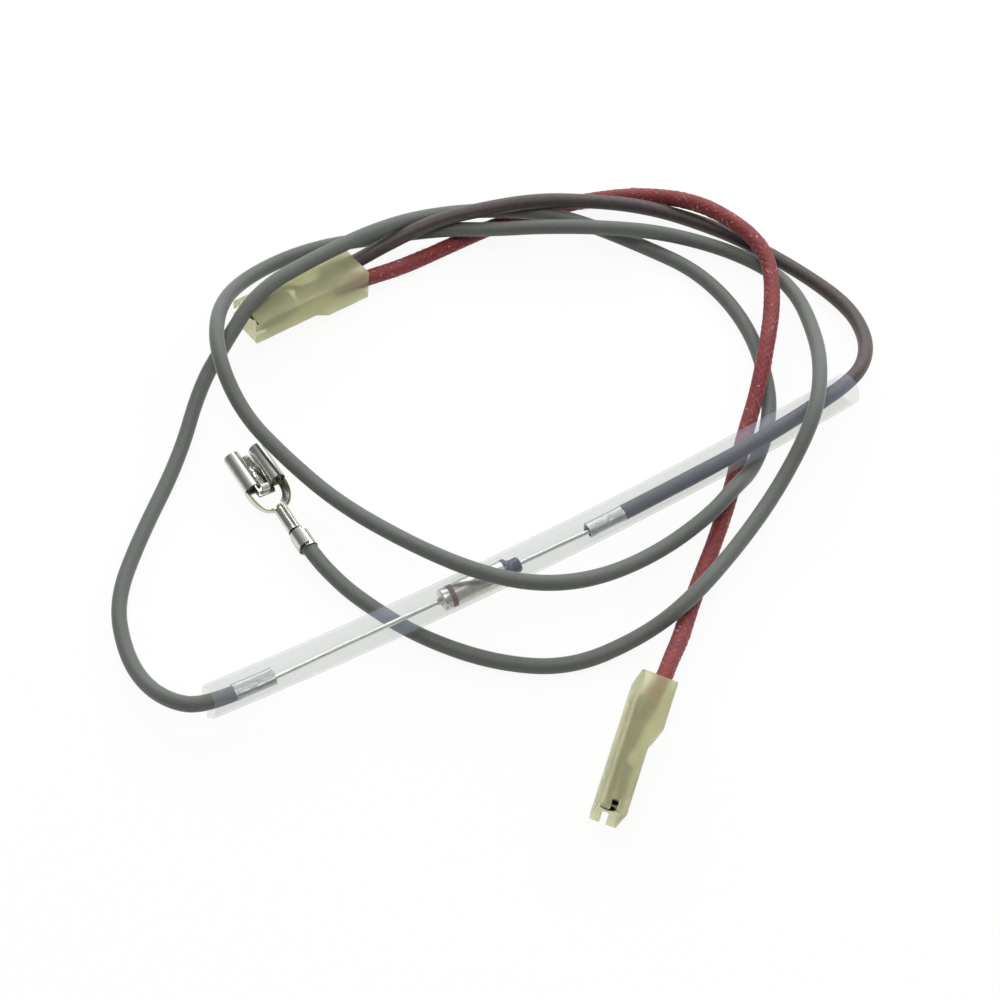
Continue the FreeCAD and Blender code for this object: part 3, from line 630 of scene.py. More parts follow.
RED_ROUTE: Points = (
    (-4.7, 55.8, 4.55), (2.2, 56, 3.2), (9, 55.8, 2.2), (17, 56.2, 1.5), (28.5, 56.4, 1.5),
    (39.5, 54.8, 1.5), (48, 52.6, 1.5), (56.4, 47.7, 2.8), (62, 40.5, 4.9), (65.1, 33.5, 5.7),
    (66.6, 25.9, 6), (65.7, 19.9, 5.2), (60.7, 12, 5.2), (54.7, 4.9, 5.4), (49.1, -1.1, 3.6),
    (43.3, -6.3, 1.5), (34.2, -15.7, 1.5), (26, -23.1, 1.5), (17, -30.5, 1.5), (10.4, -36.8, 3),
    (6.1, -40.4, 5.1), (2.9, -43.3, 6.35), (-0.5, -45.3, 6.5), (-3.71, -46.97, 6.17),
)



@dataclass
class Lead:
    """One insulated lead: a tube whose section follows a smooth line through its route."""

    name: str
    route: Points
    diameter: float
    length: float
    slot: str
    finish: Dressing
    step: float = 0.6
    sides: int = 32
    line: Array = field(init=False)

    def __post_init__(self) -> None:
        """Work out the line that the lead follows."""
        self.line = self.centreline()

    def centreline(self) -> Array:
        """Work out the NURBS spline whose control points are the route.

        Returns:
            Evenly spaced points of it, a step apart.
        """
        curve = bpy.data.curves.new(self.name + "_line", "CURVE")
        curve.dimensions = "3D"
        curve.resolution_u = 12
        spline = curve.splines.new("NURBS")
        spline.points.add(len(self.route) - 1)
        controls = np.append(np.array(self.route) * MM, np.ones((len(self.route), 1)), axis=1)
        spline.points.foreach_set("co", controls.ravel())
        spline.order_u = 3
        spline.use_endpoint_u = True
        item = bpy.data.objects.new(self.name + "_line", curve)
        bpy.context.scene.collection.objects.link(item)
        bpy.context.view_layer.update()
        mesh = bpy.data.meshes.new_from_object(item.evaluated_get(bpy.context.evaluated_depsgraph_get()))
        places = np.zeros((len(mesh.vertices), 3))
        mesh.vertices.foreach_get("co", places.ravel())
        bpy.data.objects.remove(item)
        bpy.data.meshes.remove(mesh)
        known = distances(places / MM)
        return read_off(np.linspace(0.0, known[-1], int(known[-1] / self.step) + 1), known, places / MM)

    def run(self) -> Array:
        """Return the distance along the lead at each point of its line, as one column."""
        return np.arange(len(self.line))[:, None] * self.step

    def radius(self) -> Array:
        """Return the radius over the whole surface, with a slow unevenness of extruded insulation."""
        swell = 0.012 * np.sin(self.run() / 7.3 + 1.0)
        twist = 0.010 * np.sin(self.run() / 3.1 + 2.0 * round_turn(self.sides))
        return self.diameter / 2.0 - 0.02 + swell + twist

    def dress(self, item: Item) -> None:
        """Add what the lead's surface carries beside its material: nothing on a plain lead."""

    def build(self, far_end: FarEnd, with_pieces: Sequence[Item] = ()) -> Item:
        """Args:
            far_end: what its far end is; not used.
            with_pieces: pieces that go with the lead; not used.

        Returns:
            The lead's tube.
        """
        tube = Draft().skin(sweep(self.line, self.radius(), self.sides), wrap_rows=False)
        item = tube.build(self.name, [self.finish])
        self.dress(item)
        settle(item, self.name.replace("_lead", "_cord"))
        return item


@dataclass
class BraidedLead(Lead):
    """A lead under a braid of flat yarns, two under and two over."""

    yarns: int = 8
    lay: float = 11.4
    crown: float = 0.09
    wander: float = 0.014
    flatness: float = 0.6
    bare_ends: tuple[float, float] = (4.0, 10.0)
    hair: float = 0.03
    hair_lengths: tuple[float, float] = (0.5, 1.6)
    hair_lifts: tuple[float, float] = (0.01, 0.14)
    hair_slants: tuple[float, float] = (0.4, 1.1)

    def weave(self) -> tuple[Array, Array, Array]:
        """Return the yarn surface: height, colour share and glint share, each 0 to 1.

        Two families of yarns wind opposite ways.  Across a yarn the height is |sin| to the power of
        its flatness, and a yarn lies on top where the sum of both yarns' numbers says so, two over
        and two under.  Each yarn's own tone and its glints come from its number's scrambled sine.  The
        colour share is painted shade: low in the grooves and high on the crowns, by the height of the
        yarn and of the one under it.  The glints are painted highlights, stronger on the crowns.
        """
        turn = np.arange(self.sides)[None] / self.sides
        wander = self.wander * np.sin(self.run() * 1.7 + TURN * turn) * np.sin(self.run() * 0.37)
        right = self.yarns * (turn + self.run() / self.lay + wander)
        left = self.yarns * (turn - self.run() / self.lay + wander)
        right_top = np.mod(np.floor(right) + np.floor(left), 4.0) < 2.0
        crowns = [np.abs(np.sin(np.pi * across)) ** self.flatness for across in (right, left)]
        height, below = np.where(right_top, crowns, crowns[::-1])
        own = np.where(right_top, np.floor(right) * 12.9898, np.floor(left) * 78.233)
        other = np.where(right_top, np.floor(left), np.floor(right))
        shade = np.mod(np.sin(own + 1.0) * 43758.5453, 1.0)
        spark = np.mod(np.sin(own * 1.7 + other * 39.346) * 24634.6345, 1.0)
        # painted shade: the colour share falls in the grooves and rises on the crowns; the shade term is
        # each yarn's own random tone
        colour = np.clip(0.14 + 0.46 * height + 0.32 * shade + 0.08 * below, 0.0, 1.0)
        # painted glints: the glint share is stronger on the crowns
        return height, colour, np.clip(spark * (0.4 + 0.6 * height), 0.0, 1.0)

    def radius(self) -> Array:
        """Return the radius with each yarn's crown on it."""
        swell = 0.025 * np.sin(self.run() / 5.1) + 0.02 * np.sin(self.run() / 2.3 + 1.3)
        return self.diameter / 2.0 - self.crown + self.crown * self.weave()[0] + swell

    def dress(self, item: Item) -> None:
        """Store each vertex's colour share and glint share in the Yarn attribute.

        Args:
            item: the lead's tube.
        """
        colour, glint = self.weave()[1:]
        layer = item.data.attributes.new("Yarn", "FLOAT_VECTOR", "POINT")
        layer.data.foreach_set("vector", joined(colour, glint, 0.0).astype(np.float32).ravel())

    def hairs(self, name: str, finish: Dressing, count: int, seed: int) -> Item:
        """Make short filaments that have worked loose and lie on the braid.

        Each is a thin tube on a helix: it starts at a chosen distance and angle, goes on by the
        braid's own slant for its length, and its middle stands a little off the surface.

        Args:
            name: the piece's name.
            finish: their finish.
            count: how many there are.
            seed: seed of the draws that place them.

        Returns:
            One piece with all of them.
        """
        draws = np.random.default_rng(seed)
        frames = (self.line, *across_path(self.line))
        draft = Draft()
        part = np.linspace(0.0, 1.0, 9)
        for _ in range(count):
            start = draws.uniform(self.bare_ends[0], self.length - self.bare_ends[1])
            angle = draws.uniform(0.0, TURN)
            lift = draws.uniform(*self.hair_lifts)
            length = draws.uniform(*self.hair_lengths)
            hand = draws.choice((-1.0, 1.0))
            slant = draws.uniform(*self.hair_slants)
            turn = (angle + hand * TURN * length * part / self.lay * slant)[:, None]
            reach = (self.diameter / 2.0 + 0.01 + lift * np.sin(np.pi * part) ** 2)[:, None]
            at, side, up = (read_off(start + length * part, self.run()[:, 0], points)
                            for points in frames)
            path = at + reach * (side * np.cos(turn) + up * np.sin(turn))
            path[:, 2] = np.maximum(path[:, 2], 0.05)
            draft.skin(sweep(path, self.hair, 5), wrap_rows=False)
        return settle(draft.build(name, [finish], crease=180.0))


@dataclass
class Strands:
    """A stripped conductor: wires side by side in a round bundle, slightly twisted."""

    name: str
    node: str
    paths: list[Array]
    radius: float
    place: Place
    finish: Dressing
    wires: int = 14
    wire: float = 0.13
    lay: float = 14.0

    def build(self) -> Item:
        """Make the bundles: wire k lies at r = R sqrt((k + 1/2) / n), turned by the golden angle.

        Returns:
            One piece with all the conductors.
        """
        draft = Draft()
        for path in self.paths:
            sideways, upward = across_path(path)
            for number in range(self.wires):
                reach = (self.radius - self.wire) * np.sqrt((number + 0.5) / self.wires)
                turn = (2.39996 * number + TURN * distances(path) / self.lay)[:, None]
                middle = path + reach * (sideways * np.cos(turn) + upward * np.sin(turn))
                stop = len(path) - (number * 7) % 3
                draft.skin(sweep(middle[:stop], self.wire, 8), wrap_rows=False)
        return settle(draft.build(self.name, [self.finish], self.place), self.node)


# ---- the sleeve

@dataclass
class Sleeve:
    """The clear sleeve: a tube bent to a long arc, with ends cut aslant."""

    chord: float = 125.8
    right_end: float = 61.9
    bow: float = 2.2
    outer: float = 2.9
    wall: float = 0.5
    lean: float = 10.0
    nick: float = 0.55
    oval: float = 0.012
    row: float = -10.0
    rise: float = 6.0
    rows: int = 240
    sides: int = 72

    def bend_radius(self) -> float:
        """Return the radius of the sleeve's arc."""
        return self.chord ** 2 / (8.0 * self.bow) + self.bow / 2.0

    def points(self, station: Array, side: Array, up: Array) -> Array:
        """Return points given by where they lie from the sleeve's axis.

        Args:
            station: distance along the axis from its middle.
            side: distance aside.
            up: height above the axis.

        Returns:
            Points of the row frame.
        """
        turn = station / self.bend_radius()
        reach = self.bend_radius() - side
        centre = self.row - self.bow + self.bend_radius()
        return joined(reach * np.sin(turn), centre - reach * np.cos(turn), self.rise + up)

    def at(self, station: float, drop: float = 0.0) -> Place:
        """Return the place on the axis at a distance from its middle, turned along it."""
        spot = self.points(station, 0.0, -drop)
        return Place(tuple(spot.tolist()), float(np.degrees(station / self.bend_radius())))

    def side(self, radius: float) -> Array:
        """Return one side of the wall, slightly oval.

        Near both ends the stations shift by tan(lean) r sin a, which slants the cut, and the left
        end has a curled nick at its lower corner.

        Args:
            radius: the side's radius r.

        Returns:
            Its grid.
        """
        along = np.linspace(-1.0, 1.0, self.rows)[:, None]
        angle = round_turn(self.sides)
        near_end = smoothstep(0.93, 1.0, np.abs(along))
        slant = np.tan(np.radians(self.lean)) * radius * np.sin(angle)
        nick = self.nick * bell(angle, 4.35, 0.22) * (along < 0.0)
        half = np.where(along > 0.0, self.right_end, self.chord / 2.0)
        station = along * half + near_end * (slant - nick)
        oval = self.oval * (np.cos(2.0 * angle) + np.sin(station / 4.7 + 3.0 * angle) / 3.0)
        radius = radius * (1.0 + oval)
        return self.points(station, radius * np.cos(angle), radius * np.sin(angle))

    def build(self) -> Item:
        """Make the sleeve: out along its outer side, round a rim and back along the bore.

        Returns:
            The sleeve.
        """
        wall = np.concatenate([self.side(self.outer - 0.04), self.side(self.outer - self.wall)[::-1]])
        inside = (np.arange(len(wall)) >= self.rows - 1).astype(int)
        item = Draft().skin(wall, inside).build("sleeve_tubing", [CLEAR_TUBING, CLEAR_BORE],
                                                crease=50.0)
        return settle(item, "clear_sleeve", Body.SLEEVE)


# ---- the cut-off and its splices

@dataclass
class Cutoff:
    """The axial thermal cut-off: its can, its seal and its two leads.  X runs from its closed end."""

    sleeve: Sleeve
    station: float = -14.7
    drop: float = 0.35
    length: float = 12.4
    outer: float = 1.96
    wall: float = 0.25
    shoulder: float = 0.35
    groove_at: float = 1.02
    groove: float = 0.06
    mouth: float = 1.45
    hole: float = 0.55
    ring_from: float = 1.35
    ring_to: float = 2.3
    seal_length: float = 2.45
    seal_skirt: float = 0.75
    seal_radius: float = 1.33
    seal_nose: float = 0.35
    wire: float = 0.42
    flare: float = 0.95
    flare_length: float = 0.9
    sag: float = 0.10

    def place(self) -> Place:
        """Return where the can's closed end lies."""
        return self.sleeve.at(self.station, self.drop).moved(-self.length / 2.0, 0.0, 0.0)

    def case(self) -> Item:
        """Make the can: a drawn cup with a rounded shoulder, a shallow groove and a rolled mouth.

        Returns:
            The can.
        """
        inner, outer, end = self.outer - self.wall, self.outer, self.length
        groove = [(self.groove_at - 0.07, outer), (self.groove_at, outer - self.groove),
                  (self.groove_at + 0.07, outer)]
        ring = [(self.ring_from, outer), (self.ring_to, outer)]
        mouth = [(end - 0.35, outer), (end - 0.12, outer - 0.03), (end, outer - 0.14),
                 (end, self.mouth), (end - self.wall, self.mouth), (end - self.wall, inner)]
        profile = [(0.0, self.hole), *rounding(0.0, outer, -self.shoulder)[::-1], *groove, *ring,
                   *mouth, (self.wall, inner), (self.wall, self.hole)]
        inked = np.isin([point[0] for point in profile], (self.ring_from, self.ring_to))
        draft = Draft().skin(lathe(profile), (inked & np.roll(inked, -1)).astype(int))
        item = draft.build("cutoff_can", [CASE_METAL, RING_INK], self.place(), crease=30.0)
        return settle(item, "cutoff_case")

    def seal(self) -> Item:
        """Make the seal: epoxy that covers the can's lip, falls in a fillet and ends in a blunt nose.

        Returns:
            The seal.
        """
        start, lip = self.length - self.seal_skirt, self.length + 0.02
        stop = self.length + self.seal_length
        inside, outside = self.outer - 0.02, self.outer + 0.03
        skirt = [(start, inside), (start + 0.05, outside), (lip - 0.25, outside)]
        part = np.linspace(0.0, 1.0, 9)
        fillet = joined(lip - 0.1 + 1.1 * part,
                        self.seal_radius + (outside - self.seal_radius) * (1.0 - part) ** 1.8)
        nose = rounding(stop, self.seal_radius, self.seal_nose)
        profile = [*skirt, *fillet, *nose, (stop - 0.05, self.hole), (lip, self.hole), (lip, inside)]
        item = Draft().skin(lathe(profile)).build("epoxy_plug", [DARK_EPOXY], self.place())
        return settle(item, "epoxy_seal")

    def lead(self, name: str, node: str, start: float, end: Array, flare: float) -> Item:
        """Make one tinned lead: a slightly bowed wire whose radius swells to the flare at its start.

        Args:
            name: the piece's name.
            node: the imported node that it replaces.
            start: where it starts, along the can.
            end: the point where it ends.
            flare: its radius at the start.

        Returns:
            The lead.
        """
        first = self.place().put((start, 0.0, 0.0))
        path = first + (end - first) * np.linspace(0.0, 1.0, 90)[:, None]
        run = np.linalg.norm(path - first, axis=1)
        path[:, 1] += self.sag * np.sin(np.pi * run / run[-1])
        fade = (1.0 - smoothstep(0.0, self.flare_length, run)) ** 1.5
        radius = self.wire + (flare - self.wire) * fade
        wire = Draft().skin(sweep(path, radius[:, None], 24), wrap_rows=False)
        return settle(wire.build(name, [TINNED_WIRE]), node)

    def build(self, grey_lobe: Array, brown_lobe: Array) -> None:
        """Make the cut-off.

        Args:
            grey_lobe: where its left lead ends, in the grey lead's splice.
            brown_lobe: where its right lead ends, in the brown lead's splice.
        """
        self.case()
        self.seal()
        self.lead("flared_lead", "case_lead", 0.0, grey_lobe, self.flare)
        self.lead("sealed_lead", "isolated_lead", self.length - 0.4, brown_lobe, self.wire)


@dataclass
class Splice:
    """A crimp splice: a short tinned barrel pressed over a lead's conductor and a wire."""

    name: str
    node: str
    place: Place
    length: float = 7.0
    radius: float = 0.98
    sheet: float = 0.33
    spread: float = 1.2
    waist: float = 0.12
    press: float = 0.07
    flare: float = 0.05
    dent: float = 0.10
    lop: float = 0.0

    def build(self) -> Item:
        """Make the barrel.

        Round it, y = (s/2) c / sqrt(c^2 + 0.05) + R c and z = R sin a, c being cos a, which is two
        lobes in one skin, the one on the Y side larger by the lop; z sinks by the waist between
        them.  R falls by the press in the middle of its length and flares at both mouths.

        Returns:
            The splice.
        """
        x = np.linspace(-1.0, 1.0, 41)[:, None]
        angle = round_turn(64)
        side, high = np.cos(angle), np.sin(angle)
        mouths = self.flare * smoothstep(0.93, 1.0, np.abs(x))
        pressed = 1.0 - self.press * smoothstep(0.95, 0.6, np.abs(x)) + mouths
        lobe = (self.radius - self.sheet / 2.0) * pressed * (1.0 + self.lop * side)
        y = self.spread / 2.0 * side / np.sqrt(side ** 2 + 0.05) + lobe * side
        sunk = 1.0 - self.waist * bell(y, 0.0, 0.32) * (high > 0.0)
        dent = self.dent * bell(x, 0.1, 0.18) * smoothstep(0.2, 1.0, high)
        grid = joined(x * self.length / 2.0, y, lobe * high * sunk - dent)
        barrel = Draft().sheet(grid, self.sheet, True, rim=0)
        return settle(barrel.build(self.name, [DULL_TIN], self.place, 0.06, 50.0),
                      self.node)


# ---- receptacles

@dataclass
class Receptacle:
    """A crimp receptacle for a flat tab.  X runs from its wire end to its mouth, its base at Z = 0."""

    name: str
    node: str
    place: Place
    width: float = 7.8
    tall: float = 3.0
    sheet: float = 0.4
    grip: float = 3.75
    neck: float = 0.95
    crimp: float = 5.0
    window: float = 5.5
    rolls: float = 7.6
    bore: float = 0.8
    grip_bore: Optional[float] = 1.36
    grip_sheet: float = 0.3
    lap: float = 0.34
    channel: float = 2.75
    wings: float = 2.7
    groove: float = 0.30
    lip_reach: float = 1.7
    lip_half: float = 1.75
    stop_sheet: float = 0.26
    stop_half: float = 0.72
    stop_high: float = 1.15
    boss: float = 0.5
    dent: float = 0.26
    dents: Sequence[float] = (0.2, 0.8)
    finish: Dressing = TIN_PLATE

    def crimp_at(self) -> float:
        """Return where the conductor crimp starts."""
        return self.grip + self.neck

    def window_at(self) -> float:
        """Return where the open transition starts."""
        return self.crimp_at() + self.crimp

    def rolls_at(self) -> float:
        """Return where the rolls start."""
        return self.window_at() + self.window

    def rolled_strip(self) -> Array:
        """Return the base with its two rolls.

        The section runs round one roll, over the base and round the other: (c + r cos a, h + r sin a)
        with a from 200 degrees down to -90, then straight across.  A shallow boss stands on the base,
        and small dents mark one roll's outer side.
        """
        radius = (self.tall - self.sheet) / 2.0
        aside, high = (self.width - self.tall) / 2.0, self.tall / 2.0
        turn = np.radians(np.linspace(-90.0, 200.0, 44))
        roll = joined(aside + radius * np.cos(turn), high + radius * np.sin(turn))
        base = joined(np.linspace(-aside, aside, 25)[1:-1], self.sheet / 2.0)
        y, z = np.concatenate([roll[::-1] * (-1.0, 1.0), base, roll]).T[:, None]
        x = self.rolls_at() + np.linspace(0.0, self.rolls, 49)[:, None]
        boss = bell(x, self.rolls_at() + 0.5 * self.rolls, 0.9) * bell(y, 0.0, 0.5)
        z = z + self.boss * boss * (np.abs(y) < aside) * (z < self.sheet)
        for spot in self.dents:
            mark = bell(x, self.rolls_at() + spot * self.rolls, 0.17) * bell(z, 1.3, 0.3)
            y = y - self.dent * mark * (y > aside)
        return joined(x, y, z)

    def lip(self) -> Array:
        """Return the base's rear lip, which is flat and narrows rearward."""
        part = np.linspace(0.0, 1.0, 12)[:, None]
        half = self.lip_half - 0.25 * part ** 3
        return joined(self.rolls_at() + 0.6 - self.lip_reach * part,
                      half * np.linspace(-1.0, 1.0, 9), self.sheet / 2.0)

    def stop(self) -> Array:
        """Return the stop that is folded up from the lip.

        Its line is a superellipse that goes up and over towards the mouth: x = c - a |cos t|^0.5 and
        z = h |sin t|^0.5.
        """
        turn = np.linspace(-0.06, 0.5, 16)[:, None] * np.pi
        x = self.rolls_at() + 0.35 - 0.85 * np.abs(np.cos(turn)) ** 0.5
        z = self.sheet / 2.0 + self.stop_high * np.sign(turn) * np.abs(np.sin(turn)) ** 0.5
        return joined(x, self.stop_half * np.linspace(-1.0, 1.0, 9), np.maximum(z, 0.15))

    def hoop(self) -> Array:
        """Return the U of strip round the open window: an upright wall with a flange inside its foot.

        Its line is a superellipse, x = end - a cos^0.75 t and y = b |sin t|^0.8 with its sign; its
        section runs inward by the flange's width and upward by the wall's height.
        """
        end, reach = self.rolls_at() + 0.5, self.window + 0.1
        half = (self.width - self.sheet) / 2.0 - 0.12
        foot, bend = self.sheet / 2.0, 0.25
        turn = np.linspace(-1.0, 1.0, 61) * np.radians(89.0)
        side = half * np.sign(turn) * np.abs(np.sin(turn)) ** 0.8
        path = joined(end - reach * np.cos(turn) ** 0.75, side)
        slope = np.gradient(path, axis=0)
        inward = unit(joined(slope[:, 1], -slope[:, 0]))[:, None]
        turn = turn[:, None]
        flange = 0.45 + 0.75 * bell(turn, -0.5, 0.75)
        tall = (0.95 + 0.65 * smoothstep(0.5, 1.35, np.abs(turn))) * self.tall / 3.0
        bent = np.radians([0, 0, 0, 0, 0, 30, 60, 90, 90, 90, 90])
        across = np.array([1.0, 0.75, 0.5, 0.3, 0, 0, 0, 0, 0, 0, 0])
        climb = np.array([0, 0, 0, 0, 0, 0, 0, 0, 0.35, 0.7, 1.0])
        into = flange * across + bend * (1.0 - np.sin(bent))
        high = foot + bend * (1.0 - np.cos(bent)) + (tall - bend - foot) * climb
        x, y = np.moveaxis(path[:, None] + into[..., None] * inward, -1, 0)
        return joined(x, y, high)

    def strip(self) -> Array:
        """Return the trough that joins both crimps and the hoop: an open half pipe along X."""
        x = np.linspace(0.3, self.window_at() + 1.3, 60)[:, None]
        angle = np.radians(np.linspace(205.0, 335.0, 25))
        wide = (self.grip_bore or self.channel) + self.sheet / 2.0
        narrow = self.bore + self.sheet / 2.0
        shrink = smoothstep(self.grip - 0.5, self.crimp_at() + 0.3, x)
        opened = smoothstep(self.window_at() - 0.2, self.window_at() + 1.2, x)
        side = wide + (narrow - wide) * shrink + 0.25 * opened
        deep = min(wide, self.bore + self.sheet + 0.6)
        depth = deep + (narrow - deep) * shrink
        z = self.sheet / 2.0 + depth * (1.0 + np.sin(angle)) * (1.0 - 0.8 * opened)
        return joined(x, side * np.cos(angle), z)

    def conductor_crimp(self) -> Array:
        """Return the B-shaped crimp.

        r = R (1 - g (bells at 81 and 99 degrees)): both wings roll in and leave two close grooves.
        R grows a little towards each mouth.
        """
        part = np.linspace(0.0, 1.0, 33)[:, None]
        angle = round_turn(96)
        degrees = np.degrees(angle)
        mouths = smoothstep(0.14, 0.0, part) + smoothstep(0.86, 1.0, part)
        grooves = self.groove * (bell(degrees, 81.0, 7.0) + bell(degrees, 99.0, 7.0))
        grooves = grooves + 0.10 * bell(degrees, 90.0, 24.0)
        radius = (self.bore + self.sheet / 2.0 + 0.03) * (1.0 + 0.07 * mouths - grooves)
        radius = radius * (1.0 + 0.03 * np.cos(4.0 * angle))
        high = self.bore + self.sheet + 0.1
        return joined(self.crimp_at() + part * self.crimp, radius * np.cos(angle),
                      high + radius * np.sin(angle))

    def insulation_grip(self) -> Array:
        """Return the grip round one lead: two wings, one lapping over the other as a step.

        The sheet goes round from 62 degrees to 452, its radius growing past the other wing at the
        end; the lapping wing lies a little nearer to the mouth.
        """
        turn = np.radians(np.linspace(62.0, 452.0, 96))
        part = np.linspace(0.0, 1.0, 15)[:, None]
        past = smoothstep(*np.radians([350.0, 412.0]), turn)
        radius = self.grip_bore + 0.17 + self.lap * past
        x = part * (self.grip - 0.5) + 0.05 + 0.45 * smoothstep(*np.radians([150.0, 400.0]), turn)
        return joined(x, radius * np.cos(turn), self.grip_bore + self.sheet + radius * np.sin(turn))

    def wide_grip(self) -> Array:
        """Return the wide grip that holds two leads: a trough with upright wings."""
        side = np.linspace(-1.0, 1.0, 41)
        y = self.channel * np.sign(side) * np.minimum(np.abs(side) * 1.9, 1.0)
        z = self.sheet / 2.0 + self.wings * smoothstep(0.5, 1.0, np.abs(side))
        return joined(np.linspace(0.05, self.grip, 9)[:, None], y, z)

    def build(self) -> Item:
        """Make the receptacle from its sheets, some of them thinned by the stamping.

        Returns:
            The receptacle.
        """
        draft = Draft().sheet(self.rolled_strip(), self.sheet).sheet(self.lip(), self.sheet * 0.95)
        draft.sheet(self.stop(), self.stop_sheet).sheet(self.hoop(), self.sheet)
        draft.sheet(self.strip(), self.sheet * 0.9)
        draft.sheet(self.conductor_crimp(), self.sheet * 0.8, True)
        if self.grip_bore:
            draft.sheet(self.insulation_grip(), self.grip_sheet)
        else:
            draft.sheet(self.wide_grip(), self.sheet)
        item = draft.build(self.name, [self.finish, CUT_BRASS], self.place, 0.05, 45.0)
        return settle(item, self.node)

    def wire_path(self, start: Sequence[float], side: float = 0.0) -> Array:
        """Return a conductor's line from the insulation's end into the crimp and just past it.

        Args:
            start: where the insulation ends, in the row frame.
            side: how far aside the line lies in the crimp.

        Returns:
            Points in the receptacle's own axes.
        """
        leave = self.place.own(start)
        x = np.linspace(leave[0] - 0.3, self.window_at() + 0.9, 40)
        share = smoothstep(leave[0], self.crimp_at(), x)
        high = self.bore + self.sheet
        return joined(x, leave[1] + (side - leave[1]) * share, leave[2] + (high - leave[2]) * share)

    def strands(self, name: str, node: str, ends: Points, radius: float, aside: float = 0.0,
                wires: int = 19, wire: float = 0.13) -> Item:
        """Make the conductors that its crimp holds.

        Args:
            name: the piece's name.
            node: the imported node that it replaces.
            ends: where each lead's insulation ends.
            radius: each conductor's radius.
            aside: how far aside each lies in the crimp, on the side that it comes from.
            wires: wires in each conductor.
            wire: each wire's radius.

        Returns:
            The piece.
        """
        paths = [self.wire_path(end, aside * float(np.sign(self.place.own(end)[1]))) for end in ends]
        return Strands(name, node, paths, radius, self.place, COPPER, wires, wire).build()


@dataclass
class HousedReceptacle(Receptacle):
    """The smaller receptacle that a housing holds."""

    width: float = 5.9
    sheet: float = 0.3
    grip: float = 3.0
    neck: float = 1.0
    crimp: float = 4.6
    window: float = 4.0
    rolls: float = 6.4
    bore: float = 1.1
    grip_bore: Optional[float] = 1.46
    dents: Sequence[float] = ()
    # painted shade: the housed tin is coloured darker for the shade inside the housing
    finish: Dressing = SHADED_TIN


# ---- housings

@dataclass
class Housing:
    """A nylon housing.  X runs from its rear to its mouth; its straight side lies at Z = 0."""

    name: str
    node: str
    place: Place
    length: float = 24.4
    width: float = 7.5
    rear: float = 6.2
    front: float = 4.7
    bulge: float = 8.75
    slope: float = 2.75
    wall: float = 0.6
    side_wall: float = 0.45
    slot: float = 1.1
    slot_depth: float = 2.0
    setback: float = 0.8
    seat_depth: float = 3.3

    def ring(self, inset_side: float, inset: float) -> Array:
        """Return eight corners at each of six stations, from the straight side round.

        Args:
            inset_side: how far the flanks lie inside the housing's outline.
            inset: how far its other two sides do.

        Returns:
            Points of shape (6, 8, 3).
        """
        bends = [0.0, self.bulge, self.bulge + self.slope]
        stations = np.array([*bends, self.length - self.slot_depth, self.length - self.setback,
                             self.length])[:, None]
        depth = np.interp(stations, [*bends, self.length],
                          [self.rear, self.rear, self.front, self.front])
        top, low = (self.slot - self.front) / 2.0, (-self.slot - self.front) / 2.0
        half = self.width / 2.0 - inset_side
        y = half * np.array([-1.0, 1.0, 1.0, 1.0, 1.0, -1.0, -1.0, -1.0])
        z = np.array([-inset, -inset, top, low, inset, inset, low, top])
        return joined(stations, y, z - depth * np.isin(np.arange(8), (4, 5)))

    def build(self) -> Item:
        """Make the housing.

        Rings of corners stand at stations along X, an outer and an inner one.  The wall between two
        stations and two neighbouring corners is one cell, left out where a slot or the set-back is,
        and each cell's open sides are closed.

        Returns:
            The housing.
        """
        rings = np.stack([self.ring(0.0, 0.0), self.ring(self.side_wall, self.wall)])
        numbers = np.arange(rings[..., 0].size).reshape(rings.shape[:3])
        present = np.ones((5, 8), bool)
        present[3:, [2, 6]] = False
        present[4, 0] = False

        def face(*corners: tuple[int, int, int]) -> list[int]:
            """Return the numbers of corners given by station, place in the ring, and 1 if inner."""
            return [int(numbers[inner, station, corner % 8]) for station, corner, inner in corners]

        faces = []
        for row, column in np.argwhere(present).tolist():
            here, ahead = (row, column), (row + 1, column)
            beside, opposite = (row, column + 1), (row + 1, column + 1)
            for inner in (0, 1):
                faces.append(face(*[(*corner, inner) for corner in (here, ahead, opposite, beside)]))
            sides = (((row - 1, column), here, beside), ((row + 1, column), ahead, opposite),
                     ((row, column - 1), here, ahead), ((row, column + 1), beside, opposite))
            for (next_row, next_column), first, last in sides:
                if next_row not in range(5) or not present[next_row, next_column % 8]:
                    faces.append(face((*first, 0), (*last, 0), (*last, 1), (*first, 1)))
        item = Draft().add(rings, faces).build(self.name, [NYLON], self.place, 0.2, 12.0)
        return settle(item, self.node)

    def seat(self) -> Place:
        """Return where the receptacle lies inside."""
        return self.place.moved(self.seat_depth, 0.0, -(self.wall + 0.1), 180.0)


# ---- carried-over pieces

CARRIED: dict[str, Dressing] = {
    "thermal_pellet": PELLET, "pellet_disc": BRASS, "contact_disc": BRASS,
    "barrel_spring": SPRING_WIRE, "trip_spring": SPRING_WIRE, "star_contact": SILVER_PLATE,
    "ceramic_bushing": ALUMINA,
}


def dress_carried() -> None:
    """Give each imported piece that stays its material."""
    for name, finish in CARRIED.items():
        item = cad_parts[name]
        item.data.materials.clear()
        item.data.materials.append(material_of(finish))


# ---- studio

